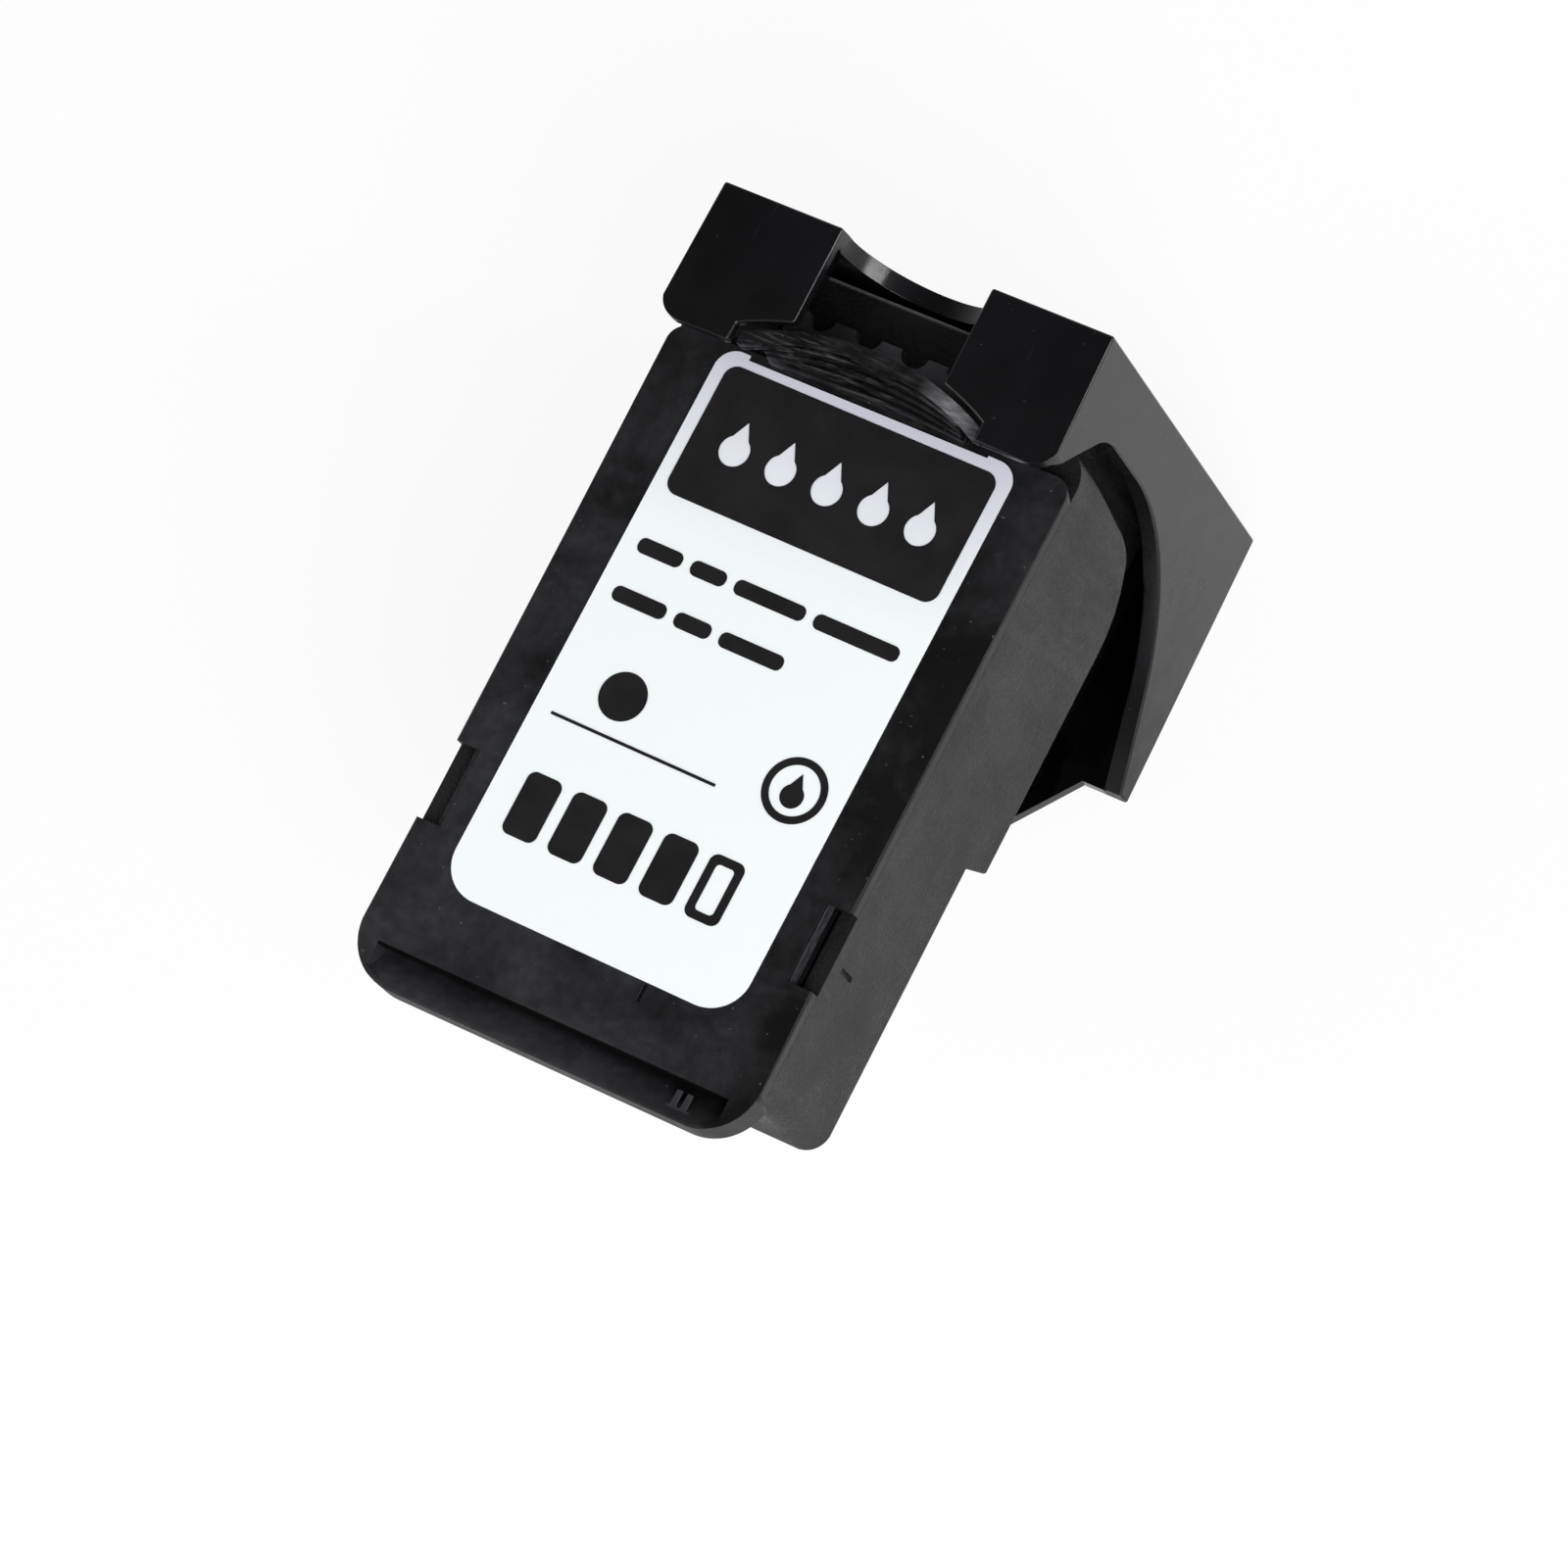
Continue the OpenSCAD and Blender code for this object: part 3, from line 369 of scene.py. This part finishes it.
def clip_plastic(props):
    """Smooth black plastic with a soft sheen, faint flow lines and handling marks, and painted
    shade that darkens it inside, round the print head.
    """
    skin = Finish("smooth_clip_plastic", Roughness=0.25, IOR=1.45, Specular_IOR_Level=0.4)
    flow = skin.noise(9.0, detail=2.0, distortion=0.8, vector=skin.stretched(1.0, 0.35, 1.0))
    haze = skin.noise(2.4, detail=3.0)
    scratch = skin.noise(0.5, detail=1.0, vector=skin.stretched(1.0, 0.06, 1.0, turn=0.35))
    scuffs = skin.spread(scratch, 0.74, 0.8)
    dust = skin.math("MULTIPLY", skin.spread(skin.noise(0.4, detail=1.0), 0.76, 0.8), 0.6)
    inside = skin.all_of(
        skin.below(skin.math("ABSOLUTE", skin.axis("X")), LID_HALF - 1.8 * MM),
        skin.below(skin.axis("Z"), LEDGE - 8.0 * MM),
        skin.below(skin.axis("Y"), BACK + 0.4 * MM),
    )
    lines = skin.spread(flow, 0.3, 0.7)
    colour = skin.blend(lines, tone(props.clip_colour, 0.7), tone(props.clip_colour, 1.5))
    colour = skin.blend(skin.math("MULTIPLY", scuffs, 0.5), colour, tone(props.clip_colour, 6.0))
    colour = skin.blend(dust, colour, tone(props.dust_colour, 0.7))
    # Painted shade: the clip's colour is darkened to 0.3 inside, round the print head.
    skin.set(Base_Color=skin.blend(inside, colour, tone(props.clip_colour, 0.3)))
    hazy = skin.spread(haze, 0.3, 0.75, 0.17, 0.27)
    worn = skin.math("ADD", hazy, skin.math("MULTIPLY", scuffs, 0.12))
    outside = skin.math("SUBTRACT", 1.0, inside)
    in_front = skin.spread(skin.axis("Y"), 30.0 * MM, 10.0 * MM, 0.0, 0.22)
    to_front = skin.math("MULTIPLY", in_front, outside)
    smoother = skin.math("MULTIPLY", inside, 0.08)
    skin.set(Roughness=skin.math("SUBTRACT", skin.math("ADD", worn, to_front), smoother))
    skin.relief((flow, 0.06, 0.12), (skin.noise(0.45, detail=3.0), 0.02, 0.45))
    return skin.material


def label_stock(props):
    """Coated white label film, with painted shade that greys it towards the clip's ears."""
    film = Finish("label_film", Roughness=0.32, IOR=1.48, Specular_IOR_Level=0.4)
    # Painted shade: the film greys towards the clip's ears.
    painted_shade_near_clip = film.spread(film.axis("Y"), 7.5 * MM, 21.5 * MM)
    tint = film.blend(painted_shade_near_clip, tone(props.label_colour, 1.0), (0.66, 0.675, 0.76, 1.0))
    fibre = film.noise(1.6, detail=4.0, roughness=0.6)
    fibrous = film.spread(fibre, 0.3, 0.8, 0.0, 0.05)
    film.set(Base_Color=film.blend(fibrous, tint, (0.72, 0.75, 0.8, 1.0)))
    film.set(Roughness=film.spread(fibre, 0.3, 0.7, 0.28, 0.38))
    film.relief((film.noise(4.0, detail=2.0), 0.02, 0.15), (fibre, 0.004, 0.2))
    return film.material


def label_ink(props):
    """Printed black, a little uneven where the ink lies thinner."""
    ink = Finish("printed_black", Roughness=0.34, IOR=1.48, Specular_IOR_Level=0.35)
    screen = ink.cells(0.16)
    uneven = ink.noise(3.0, detail=3.0)
    dots = ink.spread(screen, 0.2, 0.7, 0.0, 0.18)
    thin = ink.math("ADD", dots, ink.spread(uneven, 0.35, 0.7, 0.0, 0.35))
    colour = ink.blend(thin, tone(props.print_colour, 0.85), tone(props.print_colour, 1.7))
    ink.set(Base_Color=colour)
    ink.set(Roughness=ink.spread(uneven, 0.3, 0.7, 0.3, 0.4))
    ink.relief((uneven, 0.01, 0.15), (screen, 0.002, 0.2))
    return ink.material


def gold_plate(props):
    """Soft gold, a little duller where the contacts have rubbed it."""
    metal = Finish("gold_plate", Metallic=1.0, Roughness=0.3)
    wear = metal.noise(0.5, detail=3.0)
    worn = metal.spread(wear, 0.35, 0.7)
    colour = metal.blend(worn, tone(props.gold_colour, 1.0), tone(props.gold_colour, 0.88))
    metal.set(Base_Color=colour)
    metal.set(Roughness=metal.spread(wear, 0.3, 0.7, 0.36, 0.46))
    metal.relief((metal.noise(0.3, detail=2.0), 0.002, 0.2))
    return metal.material


def circuit_film(props):
    """Amber film with the copper lines that run under it from the pads to the chip."""
    film = Finish("amber_circuit_film", Roughness=0.22, IOR=1.6)
    film.set(Coat_Weight=0.4, Coat_Roughness=0.08)
    copper = film.spread(film.bands("X", 480.0), 0.45, 0.6)
    tint = film.blend(copper, tone(props.film_colour, 0.75), (0.62, 0.26, 0.07, 1.0))
    cloud = film.noise(2.0, detail=2.0)
    pale = film.spread(cloud, 0.3, 0.8, 0.0, 0.2)
    film.set(Base_Color=film.blend(pale, tint, tone(props.film_colour, 1.3)))
    film.set(Roughness=film.spread(cloud, 0.3, 0.7, 0.18, 0.28))
    film.relief((copper, 0.01, 0.4))
    return film.material


def polished_silicon():
    """Mirror-bright silicon with rows of nozzles."""
    chip = Finish("polished_silicon", Metallic=0.85, Roughness=0.12)
    rows = chip.bands("X", 240.0)
    holes = chip.cells(0.12)
    nozzles = chip.math("MULTIPLY", chip.spread(rows, 0.86, 0.92), chip.spread(holes, 0.42, 0.3))
    chip.set(Base_Color=chip.blend(nozzles, (0.3, 0.32, 0.37, 1.0), (0.02, 0.02, 0.03, 1.0)))
    chip.set(Roughness=chip.spread(chip.noise(1.2), 0.3, 0.7, 0.08, 0.18))
    chip.relief((nozzles, 0.01, 0.5))
    return chip.material


def woven_screen():
    """Fine steel cloth."""
    mesh = Finish("woven_steel_screen", Metallic=1.0, Roughness=0.35)
    wires = mesh.math("MAXIMUM", mesh.bands("X", 1100.0), mesh.bands("Y", 1100.0))
    mesh.set(Base_Color=mesh.blend(wires, (0.12, 0.12, 0.12, 1.0), (0.6, 0.6, 0.58, 1.0)))
    mesh.relief((wires, 0.03, 0.8))
    return mesh.material


def soaked_foam():
    """Open foam, black and wet with ink."""
    foam = Finish("soaked_foam", Roughness=0.55, Specular_IOR_Level=0.6)
    cells = foam.cells(0.7)
    walls = foam.spread(cells, 0.1, 0.6)
    foam.set(Base_Color=foam.blend(walls, (0.004, 0.004, 0.006, 1.0), (0.03, 0.03, 0.036, 1.0)))
    foam.set(Roughness=foam.spread(foam.noise(3.0), 0.3, 0.7, 0.4, 0.7))
    foam.relief((cells, 0.3, 0.8))
    return foam.material


def soft_pad():
    """Grey closed foam."""
    pad = Finish("soft_nozzle_pad", Roughness=0.85, Specular_IOR_Level=0.3)
    cells = pad.cells(0.35)
    cloud = pad.noise(3.0, detail=3.0)
    clouded = pad.spread(cloud, 0.3, 0.7)
    pad.set(Base_Color=pad.blend(clouded, (0.24, 0.25, 0.27, 1.0), (0.36, 0.37, 0.39, 1.0)))
    pad.relief((cells, 0.08, 0.7), (cloud, 0.1, 0.3))
    return pad.material


def glossy_sealant():
    """Black sealant, cured with a wet shine."""
    bead = Finish("cured_sealant", Roughness=0.15, IOR=1.5)
    skin = bead.noise(0.8, detail=2.0)
    uneven = bead.spread(skin, 0.3, 0.7)
    bead.set(Base_Color=bead.blend(uneven, (0.008, 0.008, 0.01, 1.0), (0.02, 0.02, 0.024, 1.0)))
    bead.set(Roughness=bead.spread(skin, 0.3, 0.7, 0.1, 0.24))
    bead.relief((skin, 0.05, 0.4))
    return bead.material


def tape_film(props):
    """Thin blue film, slightly rippled where it isn't held down."""
    film = Finish("blue_nozzle_tape", Roughness=0.2, IOR=1.5)
    ripple = film.noise(3.0, detail=2.0, vector=film.stretched(0.5, 1.6, 1.0))
    rippled = film.spread(ripple, 0.3, 0.7)
    colour = film.blend(rippled, tone(props.tape_colour, 0.8), tone(props.tape_colour, 1.2))
    film.set(Base_Color=colour)
    film.set(Roughness=film.spread(ripple, 0.3, 0.7, 0.16, 0.28))
    film.relief((ripple, 0.12, 0.4))
    return film.material


# Meshes


def middle(edge):
    return (edge.verts[0].co + edge.verts[1].co) / 2


def narrowest(edge):
    """The width of the narrower of the two faces that meet at an edge."""
    widths = []
    for face in edge.link_faces:
        area = face.calc_area()
        widths.append(min(area / edge.calc_length(), 2.0 * area / face.calc_perimeter()))
    return min(widths)


def off_ridges(edge):
    """Whether an edge keeps clear of the thumb grip's ridges, which are too fine to round."""
    heights = [vert.co.z for vert in edge.verts]
    return max(heights) < LID_TOP + 0.01 * MM or min(heights) > GRIP_TOP - 0.01 * MM


def off_back_corners(edge):
    """Whether an edge keeps clear of the tank's rear corners, which the leaning wall cuts."""
    place = middle(edge)
    beside = abs(place.x) > LID_HALF - 3.6 * MM and abs(place.y - TANK_BACK + 1.7 * MM) < 1.9 * MM
    return not beside or place.z > LEDGE - 0.2 * MM


def room_at_ends(edge, width):
    """Whether the edges that turn off at this edge's ends are long enough for this width."""
    along = (edge.verts[1].co - edge.verts[0].co).normalized()
    for vert in edge.verts:
        for other in vert.link_edges:
            if other is edge:
                continue
            step = other.other_vert(vert).co - vert.co
            if step.length < 2.6 * width and abs(step.normalized().dot(along)) < 0.85:
                return False
    return True


def rounded_copy(node, name, roundings):
    """A merged copy of a CAD node, its edges rounded in passes of (width, test of an edge)."""
    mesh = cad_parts[node].data.copy()
    mesh.name = name
    bm = bmesh.new()
    bm.from_mesh(mesh)
    bmesh.ops.remove_doubles(bm, verts=bm.verts, dist=0.002 * MM)
    bmesh.ops.dissolve_limit(bm, angle_limit=math.radians(0.5), verts=bm.verts, edges=bm.edges)
    for width, wanted in roundings:
        chosen = [
            edge
            for edge in bm.edges
            if edge.is_manifold
            and edge.calc_face_angle(0.0) > SHARP
            and wanted(edge)
            and narrowest(edge) > 1.2 * width
            and room_at_ends(edge, width)
        ]
        bmesh.ops.bevel(
            bm,
            geom=chosen,
            offset=width,
            offset_type="OFFSET",
            affect="EDGES",
            segments=3,
            profile=0.5,
            material=-1,
            clamp_overlap=False,
            loop_slide=True,
        )
        bmesh.ops.remove_doubles(bm, verts=bm.verts, dist=0.001 * MM)
    for face in bm.faces:
        face.smooth = True
    for edge in bm.edges:
        edge.smooth = not edge.is_manifold or edge.calc_face_angle(0.0) < CREASE
    bm.to_mesh(mesh)
    bm.free()
    piece = bpy.data.objects.new(name, mesh)
    bpy.context.scene.collection.objects.link(piece)
    weighted = piece.modifiers.new("even_normals", "WEIGHTED_NORMAL")
    weighted.keep_sharp = True
    weighted.mode = "FACE_AREA"
    return piece


def roomy(width):
    """A test for edges between faces that leave room for a rounding on either side."""
    return lambda edge: narrowest(edge) > 2.4 * width


def on_lid_rim(edge):
    """Whether an edge lies on the top outline of the lid."""
    place = middle(edge)
    if abs(place.z - LID_TOP) > 0.01 * MM or place.y > LID_BACK:
        return False
    across = max(abs(place.x) - LID_HALF + LID_CORNER, 0.0)
    along = max(FRONT + LID_CORNER - place.y, 0.0)
    return abs(math.hypot(across, along) - LID_CORNER) < 0.1 * MM


def outside_clip(edge):
    """Whether an edge of the clip lies outside the space that holds the print head."""
    place = middle(edge)
    between_wings = abs(place.x) < LID_HALF - 1.8 * MM
    inside = between_wings and place.z < LEDGE - 8.0 * MM and place.y < BACK + 0.4 * MM
    return not inside or place.z < 0.5 * MM


def finish_piece(piece, material, body, slot, *nodes):
    """Gives a piece its finish and its body, and lets it stand for its CAD nodes."""
    piece.data.materials.clear()
    piece.data.materials.append(material)
    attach(piece, body)
    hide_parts(*nodes)


def dress_node(node, material):
    """A better material for a CAD node that stays as it is."""
    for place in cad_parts[node].material_slots:
        place.material = material


# What a user may change


def colour(name, description, value):
    return bpy.props.FloatVectorProperty(
        name=name, description=description, default=value, subtype="COLOR", size=3, min=0.0, max=1.0
    )


def length(name, description, value):
    return bpy.props.FloatProperty(
        name=name,
        description=description,
        default=value,
        min=0.0,
        soft_max=MM,
        unit="LENGTH",
        precision=5,
    )


def power(name, description, value):
    return bpy.props.FloatProperty(
        name=name, description=description, default=value, min=0.0, unit="POWER"
    )


class CartridgeSettings(bpy.types.PropertyGroup):
    lid_rounding: length("Lid rounding", "Radius on the top outer edge of the lid", 0.28 * MM)
    main_rounding: length("Main rounding", "Radius on the long outer edges", 0.22 * MM)
    fine_rounding: length("Fine rounding", "Radius on the edges of small details", 0.06 * MM)
    lid_colour: colour("Lid", "Colour of the lid's plastic", (0.0085, 0.0087, 0.0098))
    dust_colour: colour("Dust", "Colour of the dust specks on the lid", (0.09, 0.09, 0.095))
    # Scuff colour: also the colour of the painted highlights on the grip rim's right end and the
    # contact block's top rear edge.
    scuff_and_highlight_colour: colour("Scuffs", "Colour of the scuffed grip and worn edges", (0.11, 0.11, 0.118))
    tank_colour: colour("Tank", "Colour of the tank's plastic", (0.0155, 0.0157, 0.0166))
    clip_colour: colour("Clip", "Colour of the clip's plastic", (0.0028, 0.003, 0.0037))
    label_colour: colour("Label", "Colour of the label's film", (0.92, 0.97, 0.97))
    print_colour: colour("Print", "Colour of the print", (0.0095, 0.0093, 0.0103))
    film_colour: colour("Circuit film", "Colour of the flexible circuit", (0.42, 0.17, 0.025))
    gold_colour: colour("Gold", "Colour of the contact pads", (0.86, 0.62, 0.25))
    tape_colour: colour("Tape", "Colour of the tape over the nozzles", (0.03, 0.13, 0.42))


class StageSettings(bpy.types.PropertyGroup):
    floor_colour: colour("Floor", "Colour of the floor", (0.93, 0.93, 0.935))
    key_power: power("Key", "Power of the key light", 6.45)
    fill_power: power("Fill", "Power of the fill light", 1.6)
    side_power: power("Side", "Power of the low light at the side", 3.0)
    horizon: bpy.props.FloatProperty(
        name="Horizon", description="Brightness of the studio near the floor", default=0.95, min=0.0
    )
    zenith: bpy.props.FloatProperty(
        name="Ceiling", description="Brightness of the studio overhead", default=0.12, min=0.0
    )


# Pieces


class CARTRIDGE_OT_tank(bpy.types.Operator):
    """Tank with its head block: rounded edges and grained plastic"""

    bl_idname = "cartridge.tank"
    bl_label = "Tank"

    def execute(self, context):
        props = context.scene.cartridge
        main, fine = props.main_rounding, props.fine_rounding
        large, small = roomy(main), roomy(fine)
        passes = (
            (main, lambda edge: large(edge) and off_back_corners(edge)),
            (fine, lambda edge: small(edge) and off_back_corners(edge)),
        )
        tank = rounded_copy("tank", "tank_shell", passes)
        finish_piece(tank, tank_plastic(props), "cartridge", "tank", "tank")
        dress_node("ink_foam", soaked_foam())
        dress_node("filter_screen", woven_screen())
        return {"FINISHED"}


class CARTRIDGE_OT_lid(bpy.types.Operator):
    """Lid with its lip, groove, pockets and thumb grip: rounded edges and satin plastic"""

    bl_idname = "cartridge.lid"
    bl_label = "Lid"

    def execute(self, context):
        props = context.scene.cartridge
        small = roomy(props.fine_rounding)
        passes = (
            (props.lid_rounding, on_lid_rim),
            (props.fine_rounding, lambda edge: small(edge) and off_ridges(edge)),
        )
        lid = rounded_copy("lid", "lid_plate", passes)
        finish_piece(lid, lid_plastic(props), "cartridge", "lid", "lid")
        return {"FINISHED"}


class CARTRIDGE_OT_label(bpy.types.Operator):
    """Label film and its print"""

    bl_idname = "cartridge.label"
    bl_label = "Label"

    def execute(self, context):
        props = context.scene.cartridge
        dress_node("label", label_stock(props))
        dress_node("label_print", label_ink(props))
        return {"FINISHED"}


class CARTRIDGE_OT_print_head(bpy.types.Operator):
    """Nozzle chip, flexible circuit, contact pads, sealing beads and tape"""

    bl_idname = "cartridge.print_head"
    bl_label = "Print head"

    def execute(self, context):
        props = context.scene.cartridge
        dress_node("nozzle_chip", polished_silicon())
        dress_node("flex_circuit", circuit_film(props))
        dress_node("contact_pads", gold_plate(props))
        dress_node("sealing_beads", glossy_sealant())
        dress_node("nozzle_tape", tape_film(props))
        return {"FINISHED"}


class CARTRIDGE_OT_clip(bpy.types.Operator):
    """Transport clip and its soft pad: rounded edges and smooth plastic"""

    bl_idname = "cartridge.clip"
    bl_label = "Transport clip"

    def execute(self, context):
        props = context.scene.cartridge
        main, fine = props.main_rounding, props.fine_rounding
        large, small = roomy(main), roomy(fine)
        passes = (
            (main, lambda edge: large(edge) and outside_clip(edge)),
            (fine, lambda edge: small(edge) and outside_clip(edge)),
        )
        clip = rounded_copy("transport_clip", "clip_shell", passes)
        finish_piece(clip, clip_plastic(props), "clip", "transport_clip", "transport_clip")
        dress_node("clip_pad", soft_pad())
        return {"FINISHED"}


# Stage


def floor_finish(stage):
    """Pale floor: matt, nearly white behind the object, with its shadow kept."""
    material = bpy.data.materials.new("pale_floor")
    material.use_nodes = True
    nodes, links = material.node_tree.nodes, material.node_tree.links
    nodes.clear()
    out = nodes.new("ShaderNodeOutputMaterial")
    matt = nodes.new("ShaderNodeBsdfDiffuse")
    matt.inputs["Color"].default_value = (*stage.floor_colour, 1.0)
    glow = nodes.new("ShaderNodeEmission")
    glow.inputs["Color"].default_value = (1.0, 1.0, 1.0, 1.0)
    glow.inputs["Strength"].default_value = 1.0
    path = nodes.new("ShaderNodeLightPath")
    mirrored = nodes.new("ShaderNodeMath")
    mirrored.operation = "MAXIMUM"
    links.new(path.outputs["Is Glossy Ray"], mirrored.inputs[0])
    links.new(path.outputs["Is Transmission Ray"], mirrored.inputs[1])
    seen = nodes.new("ShaderNodeMath")
    seen.operation = "MULTIPLY_ADD"
    links.new(path.outputs["Is Camera Ray"], seen.inputs[0])
    seen.inputs[1].default_value = FLOOR_GLOW
    faint = nodes.new("ShaderNodeMath")
    faint.operation = "MULTIPLY"
    links.new(mirrored.outputs[0], faint.inputs[0])
    faint.inputs[1].default_value = MIRRORED_GLOW
    links.new(faint.outputs[0], seen.inputs[2])
    mix = nodes.new("ShaderNodeMixShader")
    links.new(seen.outputs[0], mix.inputs["Fac"])
    links.new(matt.outputs[0], mix.inputs[1])
    links.new(glow.outputs[0], mix.inputs[2])
    links.new(mix.outputs[0], out.inputs["Surface"])
    return material


def studio_world(stage):
    """A plain room, pale near the floor and dark overhead."""
    world = bpy.data.worlds.new("studio")
    bpy.context.scene.world = world
    world.use_nodes = True
    nodes, links = world.node_tree.nodes, world.node_tree.links
    split = nodes.new("ShaderNodeSeparateXYZ")
    links.new(nodes.new("ShaderNodeTexCoord").outputs["Generated"], split.inputs[0])
    level = nodes.new("ShaderNodeMapRange")
    level.inputs["From Min"].default_value = 0.0
    level.inputs["From Max"].default_value = 0.85
    level.inputs["To Min"].default_value = stage.horizon
    level.inputs["To Max"].default_value = stage.zenith
    links.new(split.outputs["Z"], level.inputs["Value"])
    grey = nodes.new("ShaderNodeCombineColor")
    for channel in ("Red", "Green", "Blue"):
        links.new(level.outputs["Result"], grey.inputs[channel])
    links.new(grey.outputs[0], nodes["Background"].inputs["Color"])


def softbox(name, place, aim, size, watts):
    lamp = bpy.data.lights.new(name, "AREA")
    lamp.shape = "RECTANGLE"
    lamp.size, lamp.size_y = size
    lamp.energy = watts
    light = bpy.data.objects.new(name, lamp)
    light.location = place
    light.rotation_euler = (Vector(aim) - Vector(place)).to_track_quat("-Z", "Y").to_euler()
    bpy.context.scene.collection.objects.link(light)


class CARTRIDGE_OT_stage(bpy.types.Operator):
    """Pale floor, soft lights and the camera"""

    bl_idname = "cartridge.stage"
    bl_label = "Stage"

    def execute(self, context):
        scene, stage = context.scene, context.scene.cartridge_stage
        scene.view_settings.view_transform = "Standard"
        bm = bmesh.new()
        bmesh.ops.create_grid(bm, x_segments=1, y_segments=1, size=3.0)
        mesh = bpy.data.meshes.new("floor")
        bm.to_mesh(mesh)
        bm.free()
        floor = bpy.data.objects.new("floor", mesh)
        floor.data.materials.append(floor_finish(stage))
        scene.collection.objects.link(floor)
        studio_world(stage)
        softbox("key", (0.55, -0.35, 0.6), (0.0, 0.0, 0.02), (0.5, 0.5), stage.key_power)
        softbox("fill", (-0.6, -0.3, 0.35), (0.0, 0.0, 0.02), (0.5, 0.5), stage.fill_power)
        softbox("side", (0.85, 0.2, 0.2), (0.0, 0.0, 0.03), (0.14, 0.52), stage.side_power)
        camera = bpy.data.objects.new("camera", bpy.data.cameras.new("camera"))
        camera.data.sensor_fit = "HORIZONTAL"
        camera.data.sensor_width = 36.0
        camera.data.lens = LENS_MM
        camera.data.clip_end = 20.0
        turn = Matrix(CAMERA_AXES).transposed().to_4x4()
        camera.matrix_world = Matrix.Translation(CAMERA_PLACE) @ turn
        scene.collection.objects.link(camera)
        scene.camera = camera
        return {"FINISHED"}


OPERATORS = (
    CARTRIDGE_OT_tank,
    CARTRIDGE_OT_lid,
    CARTRIDGE_OT_label,
    CARTRIDGE_OT_print_head,
    CARTRIDGE_OT_clip,
    CARTRIDGE_OT_stage,
)


class CARTRIDGE_PT_panel(bpy.types.Panel):
    bl_idname = "CARTRIDGE_PT_panel"
    bl_label = "Ink cartridge"
    bl_space_type = "VIEW_3D"
    bl_region_type = "UI"
    bl_category = "Cartridge"

    def draw(self, context):
        for settings in (context.scene.cartridge, context.scene.cartridge_stage):
            column = self.layout.column()
            for name in settings.__annotations__:
                column.prop(settings, name)
        for operator in OPERATORS:
            self.layout.operator(operator.bl_idname)


CLASSES = (CartridgeSettings, StageSettings, *OPERATORS, CARTRIDGE_PT_panel)


def register():
    for cls in CLASSES:
        bpy.utils.register_class(cls)
    bpy.types.Scene.cartridge = bpy.props.PointerProperty(type=CartridgeSettings)
    bpy.types.Scene.cartridge_stage = bpy.props.PointerProperty(type=StageSettings)


def unregister():
    del bpy.types.Scene.cartridge_stage
    del bpy.types.Scene.cartridge
    for cls in reversed(CLASSES):
        bpy.utils.unregister_class(cls)


def main():
    register()
    bpy.ops.cartridge.tank()
    bpy.ops.cartridge.lid()
    bpy.ops.cartridge.label()
    bpy.ops.cartridge.print_head()
    bpy.ops.cartridge.clip()
    bpy.ops.cartridge.stage()
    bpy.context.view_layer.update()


if __name__ == "__main__":
    main()
